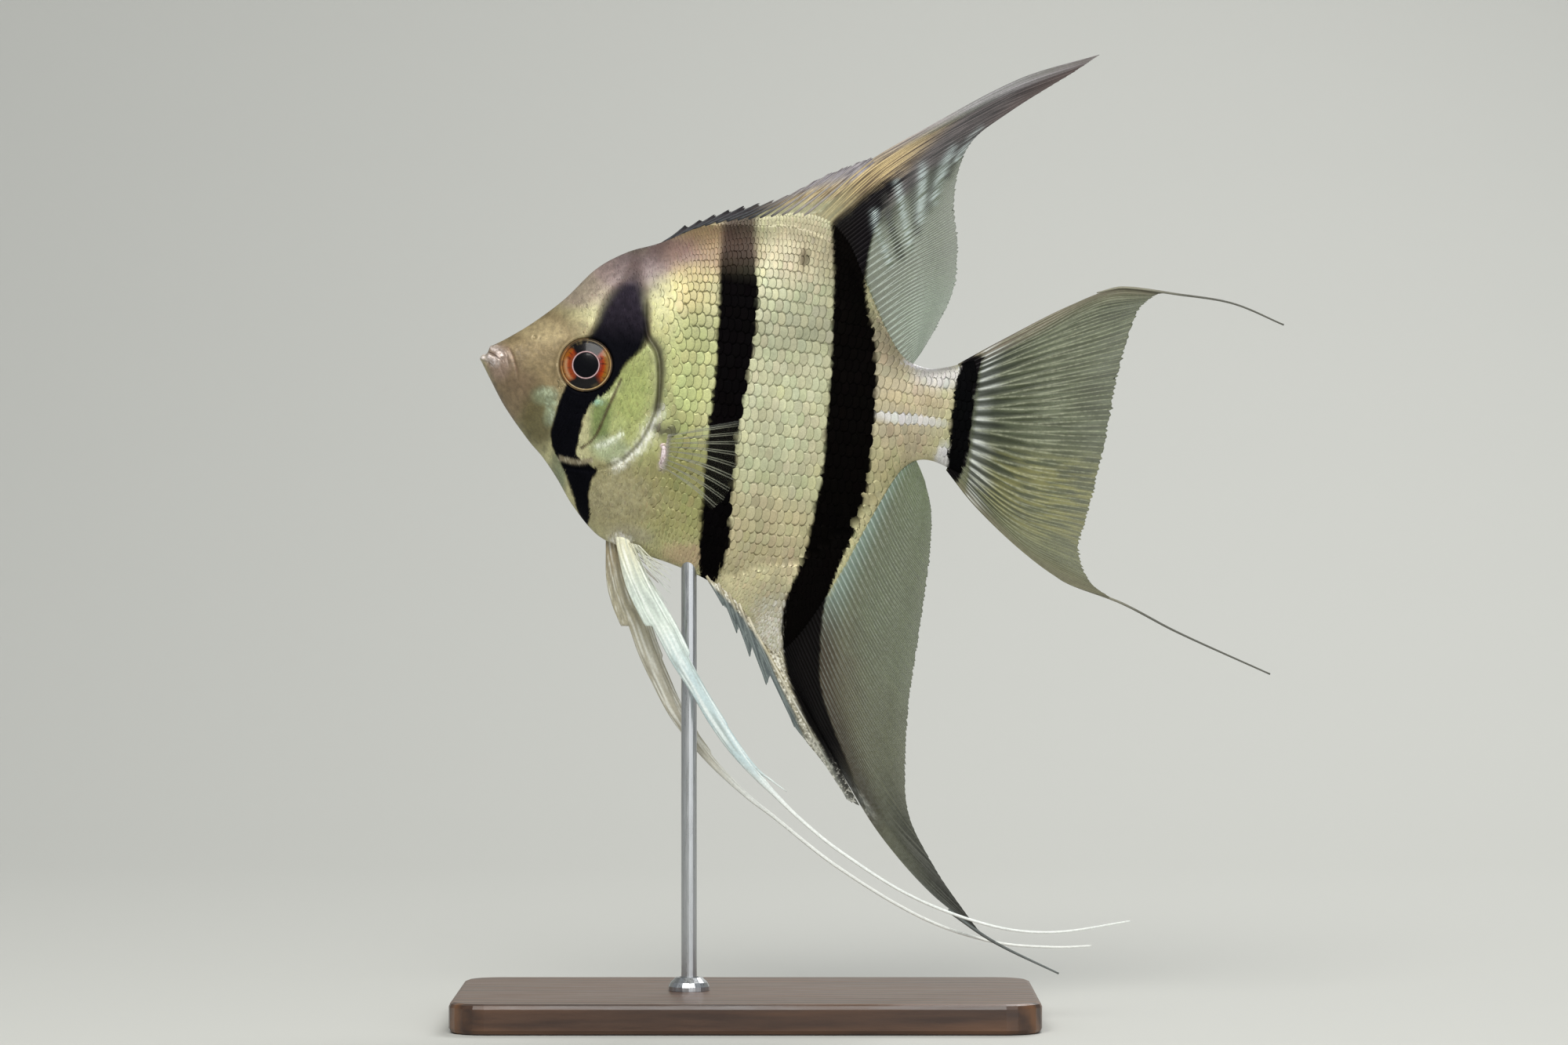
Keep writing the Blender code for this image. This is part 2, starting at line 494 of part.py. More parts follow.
def build_pelvic(word, side, stations, finish):
    """A long blade that narrows to a thread, with a short web of inner rays behind its root."""
    steps = 22
    line = smooth_line(stations, steps)
    to_full = 1 / math.cos(math.pi / PELVIC_SIDES)  # the flats, not the corners, span the full width

    def build(work):
        rings = []
        for k, here in enumerate(line):
            run = line[min(k + 1, steps)] - line[max(k - 1, 0)]
            across = Vector((-run.y, run.x)).normalized() * (here[3] / 2)
            centre = Vector((here[0], side * here[2], here[1]))
            lift = Vector((0.0, min(PELVIC_THICKNESS, here[3]) / 2, 0.0))
            ring = []
            for turn in range(PELVIC_SIDES):
                angle = 2 * math.pi * (turn + 0.5) / PELVIC_SIDES
                flat = Vector((across.x, 0.0, across.y)) * math.cos(angle) * to_full
                ring.append(work.verts.new((centre + flat + lift * math.sin(angle) * to_full) * MM))
            rings.append(ring)
        for ring, after in zip(rings, rings[1:]):
            for k in range(PELVIC_SIDES):
                beside = (k + 1) % PELVIC_SIDES
                work.faces.new((ring[k], ring[beside], after[beside], after[k]))
        work.faces.new(rings[0])
        work.faces.new(rings[-1])
        bmesh.ops.recalc_face_normals(work, faces=work.faces)

    name = f"pelvic_fin_{word}"
    fin = new_object(name, mesh_from(name, build), finish, FISH)
    smooth_shade(fin)
    forward = stations[0][0] - LEFT_PELVIC[0][0]
    web = slab(name + "_web", [(a + forward, u) for a, u in web_outline()],
               *sorted(side * out for out in PELVIC_WEB_OUT))
    join_all(fin, [web])
    boolean(fin, BODY_CUTTER, "DIFFERENCE")


def web_outline():
    """Outline of the inner rays of a pelvic fin: down one key ray, across the tips, back up the last."""
    first, middle, last = PELVIC_WEB_RAYS
    tips = smooth_line([first[-1], middle[-1], last[-1]], 4)
    front = [(first[0][0] - 1.2, first[0][1] - 1.0), (first[1][0] - 1.2, first[1][1])]
    return front + [tuple(p) for p in tips] + [last[1], last[0]]


# Stand

def to_world(along, up):
    """World x and z, in millimetres, of a place in the fish's own frame."""
    return (SNOUT_X + along * math.cos(NOSE_UP) + up * math.sin(NOSE_UP),
            SNOUT_Z - along * math.sin(NOSE_UP) + up * math.cos(NOSE_UP))


def upright_rod(name, radius, low, high, finish=None):
    def build(work):
        bmesh.ops.create_cone(work, cap_ends=True, segments=24, radius1=radius * MM, radius2=radius * MM,
                              depth=(high - low) * MM)

    rod = new_object(name, mesh_from(name, build), finish)
    rod.location = Vector((ROD_X, 0.0, (low + high) / 2)) * MM
    return rod


def build_stand(wood, steel):
    width, depth, height = BASE_SIZE

    def plate(work):
        bmesh.ops.create_cube(work, size=1.0)
        bmesh.ops.scale(work, verts=work.verts, vec=(width * MM, depth * MM, height * MM))
        upright = [e for e in work.edges if abs(e.verts[0].co.z - e.verts[1].co.z) > height * MM / 2]
        bmesh.ops.bevel(work, geom=upright, offset=BASE_CORNER * MM, segments=5, affect="EDGES", profile=0.5)

    base = new_object("stand_base", mesh_from("stand_base", plate), wood)
    base.location = (0.0, 0.0, height * MM / 2)
    edge = base.modifiers.new("Edge", "BEVEL")
    edge.width = BASE_EDGE * MM
    edge.segments = 2
    edge.limit_method = "ANGLE"
    smooth_shade(base, 50.0)
    boolean(base, upright_rod("base_hole", ROD_RADIUS + GAP, height - ROD_SINK_BASE - GAP, height + 2.0),
            "DIFFERENCE")
    rod = upright_rod("stand_rod", ROD_RADIUS, height - ROD_SINK_BASE, BELLY_Z + ROD_SINK_BODY, steel)
    smooth_shade(rod)

    profile = [(ROD_RADIUS + GAP, COLLAR_HEIGHT), (COLLAR_RADIUS - 1.2, COLLAR_HEIGHT),
               (COLLAR_RADIUS - 0.35, COLLAR_HEIGHT * 0.62), (COLLAR_RADIUS, COLLAR_HEIGHT * 0.3),
               (COLLAR_RADIUS, 0.0), (ROD_RADIUS + GAP, 0.0)]

    def collar_profile(work):
        ring = [work.verts.new((r * MM, 0.0, z * MM)) for r, z in profile]
        for a, b in zip(ring, ring[1:] + ring[:1]):
            work.edges.new((a, b))

    collar = new_object("stand_collar", mesh_from("stand_collar", collar_profile), steel)
    collar.location = Vector((ROD_X, 0.0, height + GAP / 10)) * MM
    turned = collar.modifiers.new("Turned", "SCREW")
    turned.steps = turned.render_steps = 20
    turned.use_merge_vertices = True
    turned.merge_threshold = 0.00001
    smooth_shade(collar)


for leftover in list(bpy.data.objects):
    bpy.data.objects.remove(leftover)
PARTS = bpy.data.collections.new("angelfish_on_stand")
HELPERS = bpy.data.collections.new("helpers")
for group in (PARTS, HELPERS):
    bpy.context.scene.collection.children.link(group)

FISH = bpy.data.objects.new("fish_pose", None)
PARTS.objects.link(FISH)
FISH.location = (SNOUT_X * MM, 0.0, SNOUT_Z * MM)
FISH.rotation_euler = (0.0, NOSE_UP, 0.0)

ROD_X, BELLY_Z = to_world(ROD_ALONG, value_at(BELLY_LINE, ROD_ALONG))
ROD_SOCKET = upright_rod("rod_socket", ROD_RADIUS + GAP, BELLY_Z - 8.0, BELLY_Z + ROD_SINK_BODY + GAP)
BODY_CUTTER = new_object("body_room", body_mesh("body_room", grow=GAP), parent=FISH)

silver = material("silver_skin", (0.66, 0.66, 0.5), 0.35)
lip_skin = material("lip_skin", (0.62, 0.53, 0.46), 0.4)
eye_finish = material("eye", (0.05, 0.03, 0.02), 0.1)
membrane = material("fin_membrane", (0.42, 0.45, 0.36), 0.4)
pale_fin = material("pale_fin", (0.8, 0.84, 0.8), 0.4)
wood_finish = material("stand_wood", (0.3, 0.19, 0.11), 0.5)
steel_finish = material("stand_steel", (0.6, 0.6, 0.6), 0.3, 1.0)

build_head(silver, lip_skin, eye_finish)
build_trunk(silver)
build_unpaired_fins(membrane)
for fin_word, fin_side, pelvic in (("left", -1, LEFT_PELVIC), ("right", 1, RIGHT_PELVIC)):
    build_pectoral(fin_word, fin_side, membrane)
    build_pelvic(fin_word, fin_side, pelvic, pale_fin)
build_stand(wood_finish, steel_finish)
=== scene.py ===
import math

import bpy
import numpy as np
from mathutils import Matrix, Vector, noise


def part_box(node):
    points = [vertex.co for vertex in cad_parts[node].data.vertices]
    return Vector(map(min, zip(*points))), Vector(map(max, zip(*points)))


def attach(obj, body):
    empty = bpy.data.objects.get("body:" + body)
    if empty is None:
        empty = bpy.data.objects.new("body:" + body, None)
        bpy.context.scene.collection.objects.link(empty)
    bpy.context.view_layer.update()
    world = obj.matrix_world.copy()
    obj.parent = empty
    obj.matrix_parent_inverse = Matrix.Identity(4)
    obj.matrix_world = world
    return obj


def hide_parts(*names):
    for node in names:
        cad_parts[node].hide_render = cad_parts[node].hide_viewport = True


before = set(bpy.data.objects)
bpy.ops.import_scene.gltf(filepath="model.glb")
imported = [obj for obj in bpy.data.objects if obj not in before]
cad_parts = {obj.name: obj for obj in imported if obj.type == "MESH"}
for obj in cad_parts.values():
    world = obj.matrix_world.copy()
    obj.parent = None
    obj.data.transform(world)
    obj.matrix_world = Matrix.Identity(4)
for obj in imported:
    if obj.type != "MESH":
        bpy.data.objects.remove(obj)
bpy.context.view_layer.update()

# A freshwater angelfish, life size. Sizes are millimetres in the fish's own directions:
# "along" from the snout to the tail, "up" square to it, and "out" from the middle plane,
# minus on the fish's left. The whole fish is tilted nose up over its stand.
pose = {"noseUp": math.radians(7.0), "eyeAlong": 17.7, "eyeUp": 0.6}
millimetre = 0.001
sides = ((-1, "left"), (1, "right"))


def boxMiddle(node):
    low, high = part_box(node)
    return (low + high) / 2


eyeMiddle = (boxMiddle("eye_left") + boxMiddle("eye_right")) / 2
cosTilt, sinTilt = math.cos(pose["noseUp"]), math.sin(pose["noseUp"])
snoutX = eyeMiddle.x - millimetre * (pose["eyeAlong"] * cosTilt + pose["eyeUp"] * sinTilt)
snoutZ = eyeMiddle.z + millimetre * (pose["eyeAlong"] * sinTilt - pose["eyeUp"] * cosTilt)
random = np.random.default_rng(7)      # each piece draws from it in turn


# camera first, then the small tools that every piece uses
view = {"place": (0.00624, -0.9, 0.0825), "lens": 124.75, "sensor": 36.0}
camera = bpy.data.objects.new("camera", bpy.data.cameras.new("camera"))
bpy.context.scene.collection.objects.link(camera)
camera.location = view["place"]
camera.rotation_euler = (math.pi / 2, 0, 0)
camera.data.lens, camera.data.sensor_width = view["lens"], view["sensor"]
camera.data.clip_start = 0.01
bpy.context.scene.camera = camera
print("camera set")


# points: (n, 3) of along, out, up
def toWorld(points):
    along, out, up = points[:, 0], points[:, 1], points[:, 2]
    return np.stack([snoutX + millimetre * (along * cosTilt + up * sinTilt), millimetre * out,
                     snoutZ + millimetre * (up * cosTilt - along * sinTilt)], axis=1)


# soft step from 0 at low to 1 at high, its opposite, and a soft bump of height 1
def ease(low, high, x):
    t = np.clip((np.asarray(x, float) - low) / (high - low), 0, 1)
    return t * t * (3 - 2 * t)


def fade(low, high, x):
    return 1 - ease(low, high, x)


def bell(x, middle, width):
    return np.exp(-((x - middle) / width) ** 2)


# smooth curve through (place, value) pairs, for many places at once
def smoothTable(table, x):
    xs = np.array([p[0] for p in table], float)
    ys = np.array([p[1] for p in table], float)
    x = np.asarray(x, float)
    i = np.clip(np.searchsorted(xs, x, side="right") - 1, 0, len(xs) - 2)
    before, after = np.maximum(i - 1, 0), np.minimum(i + 2, len(xs) - 1)
    x0, x1, y0, y1 = xs[i], xs[i + 1], ys[i], ys[i + 1]
    t = np.clip((x - x0) / (x1 - x0), 0, 1)
    slope0 = (y1 - ys[before]) / (x1 - xs[before]) * (x1 - x0)
    slope1 = (ys[after] - y0) / (xs[after] - x0) * (x1 - x0)
    return ((2 * t**3 - 3 * t**2 + 1) * y0 + (t**3 - 2 * t**2 + t) * slope0
            + (3 * t**2 - 2 * t**3) * y1 + (t**3 - t**2) * slope1)


def smoothLine(points, steps, even=True):
    points = np.array(points, float)
    gaps = np.linalg.norm(np.diff(points, axis=0), axis=1) if even else np.ones(len(points) - 1)
    marks = np.concatenate([[0], np.cumsum(gaps)])
    where = np.linspace(0, marks[-1], steps + 1)
    columns = [smoothTable(list(zip(marks, points[:, axis])), where) for axis in range(points.shape[1])]
    return np.stack(columns, axis=1)


# distance to a smooth line, its sign (plus to the left of its run) and how far down it the place is
def lineDistance(points, along, up):
    line = smoothLine(points, 8 * (len(points) - 1))
    best = np.full(np.shape(along), 1e9)
    side, share = np.zeros_like(best), np.zeros_like(best)
    for i, (a, b) in enumerate(zip(line, line[1:])):
        run = b - a
        t = np.clip(((along - a[0]) * run[0] + (up - a[1]) * run[1]) / max(run @ run, 1e-9), 0, 1)
        gap = np.hypot(along - a[0] - t * run[0], up - a[1] - t * run[1])
        near = gap < best
        cross = run[0] * (up - a[1]) - run[1] * (along - a[0])
        side = np.where(near, np.sign(cross), side)
        share = np.where(near, (i + t) / (len(line) - 1), share)
        best = np.minimum(best, gap)
    return best, side, share


def nearLine(points, along, up, width):
    return bell(lineDistance(points, along, up)[0], 0, width)


# soft random values from -1 to 1; out may be one number for all places
def grain(along, up, out, size, seed, octaves=3):
    places = np.stack(np.broadcast_arrays(along / size + seed, up / size, out / size - seed), axis=1)
    return np.array([noise.fractal(Vector(place), 1.0, 2.0, octaves) for place in places.tolist()])


def srgb(red, green, blue):
    c = np.array([red, green, blue], float) / 255
    return np.where(c <= 0.04045, c / 12.92, ((c + 0.055) / 1.055) ** 2.4)


def mixed(colour, patch, weight):
    return colour * (1 - weight[:, None]) + patch * weight[:, None]


# patches (colour, weight) painted in turn over a first colour
def layers(colour, *patches):
    for patch, weight in patches:
        colour = mixed(colour, patch, np.clip(weight, 0, 1))
    return colour


# points in millimetres of the fish; a value and the tint are given once or for each point
def makeMesh(name, points, faces, values, tint, uv, uvName="OFBake"):
    mesh = bpy.data.meshes.new(name)
    mesh.from_pydata(toWorld(np.asarray(points, float)).tolist(), [], [list(map(int, f)) for f in faces])
    for key, value in values.items():
        mesh.attributes.new(key, "FLOAT", "POINT").data.foreach_set(
            "value", np.full(len(points), value, np.float32))
    colour = np.ones((len(points), 4), np.float32)
    colour[:, :3] = np.clip(tint, 0, 1)
    mesh.attributes.new("tint", "FLOAT_COLOR", "POINT").data.foreach_set("color", colour.ravel())
    mesh.attributes.new("place", "FLOAT_VECTOR", "POINT").data.foreach_set(
        "vector", np.asarray(points, np.float32).ravel())
    corners = np.empty(len(mesh.loops), int)
    mesh.loops.foreach_get("vertex_index", corners)
    mesh.uv_layers.new(name=uvName).data.foreach_set("uv", np.asarray(uv, np.float32)[corners].ravel())
    mesh.shade_smooth()
    obj = bpy.data.objects.new(name, mesh)
    bpy.context.scene.collection.objects.link(obj)
    return obj


def gridFaces(rows, columns, wrap=False, offset=0, flip=False):
    r, c = np.meshgrid(np.arange(rows - 1), np.arange(columns if wrap else columns - 1), indexing="ij")
    r, c = r.ravel(), c.ravel()
    after = (c + 1) % columns
    a, b = r * columns + c, r * columns + after
    d, e = (r + 1) * columns + after, (r + 1) * columns + c
    faces = np.stack([a, b, d, e], axis=1) + offset
    return faces[:, ::-1] if flip else faces


# the faces of a tube of rings, both ends closed
def tubeFaces(rings, columns, flip=False):
    first, last = list(range(columns)), list(range((rings - 1) * columns, rings * columns))
    ends = [first, last[::-1]] if flip else [first[::-1], last]
    return list(gridFaces(rings, columns, wrap=True, flip=flip)) + ends


# small tools for materials
def newMaterial(name):
    made = bpy.data.materials.new(name)
    made.use_nodes = True
    tree = made.node_tree
    return made, tree, tree.nodes["Principled BSDF"]


# links a socket or sets a number, for each input that is named
def feed(target, inputs):
    for key, value in dict(inputs).items():
        if isinstance(value, bpy.types.NodeSocket):
            target.id_data.links.new(value, target.inputs[key])
        else:
            target.inputs[key].default_value = value


def node(tree, kind, inputs=(), **settings):
    made = tree.nodes.new(kind)
    for key, value in settings.items():
        setattr(made, key, value)
    feed(made, inputs)
    return made


def attribute(tree, name, socket="Fac"):
    return node(tree, "ShaderNodeAttribute", attribute_name=name).outputs[socket]


def mathNode(tree, operation, a, b=0.0, clamp=False):
    return node(tree, "ShaderNodeMath", {0: a, 1: b}, operation=operation, use_clamp=clamp).outputs[0]


def easeNode(tree, value, low, high, outLow, outHigh):
    return node(tree, "ShaderNodeMapRange", {"Value": value, "From Min": low, "From Max": high,
                                             "To Min": outLow, "To Max": outHigh},
                interpolation_type="SMOOTHSTEP").outputs["Result"]


def noiseNode(tree, vector, scale, detail=3.0, roughness=0.55):
    return node(tree, "ShaderNodeTexNoise", {"Vector": vector, "Scale": scale, "Detail": detail,
                                             "Roughness": roughness}).outputs["Fac"]


def mixColour(tree, factor, a, b, blend="MIX"):
    made = node(tree, "ShaderNodeMix", {"Factor": factor, 6: a, 7: b}, data_type="RGBA", blend_type=blend)
    return made.outputs[2]


def bumpNode(tree, height, strength, depth):
    return node(tree, "ShaderNodeBump", {"Height": height, "Strength": strength, "Distance": depth}).outputs[0]


# colour times a grey factor
def brightened(tree, colour, factor):
    grey = node(tree, "ShaderNodeCombineColor", {0: factor, 1: factor, 2: factor}).outputs[0]
    return mixColour(tree, 1.0, colour, grey, "MULTIPLY")


# the body
body = {
    "top": [(-0.1, -0.4), (0.3, 0.4), (0.9, 0.65), (1.15, 1.0), (1.35, 1.9), (1.9, 2.25), (4.2, 3.8),
            (7.9, 6.7), (12.6, 11.2), (17.2, 16.8), (22.0, 20.2), (27.0, 22.3), (34.3, 26.4),
            (44.5, 29.4), (50.0, 30.6), (54.5, 29.8), (58.5, 26.3), (62.0, 20.0), (66.0, 13.1),
            (69.5, 8.6), (73.5, 7.2), (77.0, 7.8), (81.5, 9.6)],
    "belly": [(-0.1, -0.5), (0.3, -1.0), (2.0, -3.6), (5.0, -7.9), (9.6, -13.0), (12.2, -15.4),
              (14.9, -18.5), (18.0, -22.6), (22.5, -26.9), (26.6, -28.5), (36.1, -30.5), (43.0, -32.9),
              (48.7, -37.2), (53.8, -43.0), (57.5, -40.4), (62.9, -30.2), (67.9, -17.8),
              (71.4, -10.4), (75.2, -8.1), (81.5, -9.8)],
    "halfWidth": [(-0.1, 0.5), (0.3, 1.2), (1.2, 1.7), (3.0, 2.3), (8.0, 3.5), (14.0, 4.9), (20.0, 6.0),
                  (28.0, 6.8), (36.0, 7.0), (46.0, 6.3), (56.0, 4.9), (66.0, 3.3), (74.0, 2.2), (81.5, 1.5)],
    "fleshTop": [(-0.1, 0.0), (30.0, 0.0), (46.0, 2.4), (56.0, 3.6), (64.0, 1.4), (70.0, 0.0), (81.5, 0.0)],
    "fleshBelly": [(-0.1, 0.0), (38.0, 0.0), (46.0, 4.0), (53.8, 14.5), (60.0, 12.0), (66.0, 4.5),
                   (72.0, 0.0), (81.5, 0.0)],
    "sheath": 0.95,
    "inset": 0.14,          # the coat of scales fills this depth
    "end": 81.2,
}
head = {
    "end": 34, "eyeRadius": 4.4, "eyeDome": 0.8,
    "eyeRim": (0.16, 4.85, 0.32),       # height, radius, half width
    "socket": (1.5, 4.15, 4.55),        # depth, radius of its floor and of its mouth
    "coverEdge": [(25.6, 27.0), (25.6, 13.0), (26.6, 6.8), (28.8, 3.6), (29.7, -1.0), (29.7, -6.2),
                  (27.8, -11.0), (24.9, -14.3), (21.2, -15.9), (16.5, -16.0), (13.6, -14.6)],
    "bulge": 0.55,
    # creases pressed into the skin: points, depth, half width
    "creases": {
        "preopercle": ([(23.9, -0.2), (23.7, -1.4), (22.4, -5.4), (21.0, -10.0), (20.3, -11.4), (18.9, -13.0),
                        (16.8, -13.6)], 0.22, 0.18),
        "subopercle": ([(29.2, -5.4), (28.2, -6.5), (26.7, -8.2), (24.9, -9.4), (22.7, -10.8), (20.4, -12.2)],
                       0.08, 0.22),
        "cheek": ([(19.2, -4.7), (20.9, -4.4), (22.3, -3.6), (23.4, -2.0), (23.8, -0.4)], 0.08, 0.25),
        "upperJawEdge": ([(3.2, 2.5), (4.4, 1.9), (5.2, 0.9), (5.8, -0.3), (6.3, -1.6), (6.7, -3.2)], 0.12, 0.22),
        "jawFold": ([(2.6, 2.3), (3.5, 1.6), (4.2, 0.7), (4.7, -0.3), (5.0, -1.3)], 0.1, 0.16),
        "chinFold": ([(2.9, -0.6), (3.7, -1.5), (4.4, -2.9), (5.0, -4.4)], 0.1, 0.2),
        "mouth": ([(0.8, 0.72), (1.5, 0.76), (2.4, 0.38), (3.4, -0.3)], 0.24, 0.12),
        "throat": ([(15.0, -15.9), (16.4, -16.3), (18.2, -16.45), (20.0, -16.05), (21.2, -15.3)], 0.22, 0.22),
    },
    # swellings: points, height, half width
    "rolls": {
        "upperLip": ([(1.25, 1.75), (1.9, 1.62), (2.6, 1.2), (3.3, 0.55), (3.9, -0.2)], 0.36, 0.52),
        "lowerLip": ([(-0.1, 0.0), (0.7, 0.15), (1.5, 0.12), (2.3, -0.25), (3.0, -0.8), (3.6, -1.5)], 0.36, 0.56),
        "underEye": ([(12.8, -0.6), (13.6, -3.4), (15.8, -5.2), (18.6, -5.5), (21.2, -4.6)], 0.1, 0.5),
        "throatFlap": ([(14.6, -15.0), (16.2, -15.3), (18.2, -15.45), (19.9, -15.05), (20.8, -14.5)], 0.2, 0.5),
    },
    "nostril": (8.6, 4.2),
}


def halfThickness(along, up):
    top, belly = smoothTable(body["top"], along), smoothTable(body["belly"], along)
    fleshTop = top - smoothTable(body["fleshTop"], along)
    fleshBelly = belly + np.maximum(smoothTable(body["fleshBelly"], along), 0)
    middle, reach = (fleshTop + fleshBelly) / 2, (fleshTop - fleshBelly) / 2
    share = np.minimum(np.abs(up - middle) / reach, 1)
    width = smoothTable(body["halfWidth"], along)
    core = width * (1 - share**2.1) ** 0.72
    edge = np.minimum(np.abs(2 * up - top - belly) / (top - belly), 1)
    sheath = np.minimum(body["sheath"], width) * np.sqrt(1 - edge**6)
    return np.hypot(core, sheath)


# distance from the edge of the gill cover, plus behind and below it
def coverSide(along, up):
    gap, side, share = lineDistance(head["coverEdge"], along, up)
    return gap * side, share


# height of the head's folds, bones and lips over the smooth body
def headRelief(along, up):
    level = np.sqrt(np.maximum(1 - ((up + 5.0) / 13.5) ** 2, 0))
    edge, share = coverSide(along, up)
    height = head["bulge"] * ease(15.0, 22.0, along) * level * fade(0.0, 0.4, edge)
    onCover = ease(0.24, 0.3, share) * fade(0.94, 1.0, share)
    height -= 0.22 * onCover * bell(edge, 0.45, 0.3)
    height += 0.08 * onCover * bell(edge, -0.5, 0.4)
    for points, depth, width in head["creases"].values():
        gap, _, share = lineDistance(points, along, up)
        height -= depth * (ease(0, 0.12, share) * fade(0.85, 1, share) * 0.8 + 0.2) * bell(gap, 0, width)
    for points, tall, width in head["rolls"].values():
        gap, _, share = lineDistance(points, along, up)
        height += tall * np.sqrt(np.maximum(1 - (gap / (width * 1.6)) ** 2, 0)) * fade(0.8, 1, share)
    gap = np.hypot(along - head["nostril"][0], up - head["nostril"][1])
    return height + (0.06 * bell(gap, 0.45, 0.2) - 0.3 * bell(gap, 0, 0.26))


def eyeGap(along, up):
    return np.hypot(along - pose["eyeAlong"], up - pose["eyeUp"])


# how far out the finished skin lies, folds included
def surface(along, up):
    out = halfThickness(along, up) - body["inset"]
    near = np.asarray(along) < head["end"]
    relief = np.zeros_like(out)
    if near.any():
        gap = eyeGap(along[near], up[near])
        rimHeight, rimRadius, rimWidth = head["eyeRim"]
        socketDepth, floorRadius, mouthRadius = head["socket"]
        relief[near] = headRelief(along[near], up[near]) + rimHeight * bell(gap, rimRadius, rimWidth)
        relief[near] -= socketDepth * fade(floorRadius, mouthRadius, gap)
    return np.maximum(out + relief * np.minimum(out / 0.8, 1), 0)


# markings, the same for skin, scales and fins. Edges are (up, left edge, right edge, softness)
bars = {
    "eyeBar": [(-26.5, 21.2, 20.8, 0.3), (-24.0, 19.5, 21.2, 0.5), (-21.0, 18.0, 20.7, 0.5),
               (-18.2, 16.7, 20.8, 0.5), (-16.2, 15.6, 21.5, 0.4), (-15.2, 15.0, 19.0, 0.3),
               (-14.2, 14.2, 17.9, 0.3), (-11.7, 13.2, 18.0, 0.35), (-8.3, 13.6, 18.3, 0.35),
               (-5.6, 14.1, 19.4, 0.4), (-3.2, 14.8, 21.9, 0.4), (-0.8, 15.4, 23.2, 0.5),
               (1.4, 16.0, 24.2, 0.9), (3.6, 16.6, 26.0, 1.4), (5.2, 17.6, 26.8, 2.0),
               (7.4, 18.7, 26.9, 2.6), (9.8, 19.3, 26.5, 3.2), (12.0, 20.2, 25.9, 3.8),
               (14.0, 21.6, 25.2, 4.6), (15.8, 23.4, 24.0, 5.2), (30.0, 25.6, 21.4, 5.2)],
    "middle": [(-36.0, 41.5, 42.4, 0.3), (-31.7, 40.4, 43.4, 0.3), (-25.9, 39.8, 44.6, 0.3),
               (-19.4, 39.5, 44.2, 0.3), (-11.6, 39.1, 43.9, 0.3), (-4.4, 39.0, 44.1, 0.3),
               (2.2, 38.9, 44.4, 0.3), (8.4, 38.5, 44.6, 0.35), (14.9, 38.1, 44.4, 0.4),
               (19.0, 37.6, 43.7, 0.8), (23.0, 37.4, 43.0, 1.5), (27.5, 37.2, 42.6, 2.2),
               (32.0, 37.2, 42.6, 2.2)],
    "rear": [(-66.0, 69.8, 72.4, 0.8), (-60.5, 66.2, 69.2, 0.7), (-53.8, 61.2, 65.5, 0.6),
             (-47.6, 57.4, 62.7, 0.5), (-41.2, 55.4, 61.8, 0.4), (-34.8, 54.9, 61.5, 0.3),
             (-27.3, 56.9, 63.1, 0.3), (-19.2, 57.9, 65.4, 0.3), (-11.3, 58.4, 66.0, 0.3),
             (-3.5, 58.1, 65.9, 0.3), (4.3, 57.8, 65.4, 0.35), (10.8, 57.2, 64.3, 0.4),
             (17.1, 56.7, 62.2, 0.6), (23.6, 55.9, 61.7, 0.8), (28.8, 55.0, 62.2, 0.6),
             (30.2, 55.8, 62.6, 0.8), (32.6, 58.2, 63.4, 1.0), (35.7, 60.8, 64.7, 1.2),
             (38.6, 64.4, 66.4, 1.4)],
    "tailRoot": [(-10.6, 79.4, 81.0, 0.35), (-9.1, 78.9, 81.6, 0.3), (-5.0, 78.6, 82.2, 0.35),
                 (-1.0, 78.5, 82.3, 0.35), (4.0, 78.6, 82.2, 0.35), (8.4, 79.2, 82.4, 0.3),
                 (9.8, 80.0, 82.6, 0.3)],
}


def barEdge(name, column, up):
    return smoothTable([(row[0], row[column]) for row in bars[name]], up)


def barAmount(name, along, up):
    low, high = bars[name][0][0], bars[name][-1][0]
    left, right, soft = (barEdge(name, column, up) for column in (1, 2, 3))
    amount = ease(-0.5, 0.5, (along - left) / soft) * ease(-0.5, 0.5, (right - along) / soft)
    return amount * ease(low - 1.0, low, up) * fade(high, high + 1.0, up)


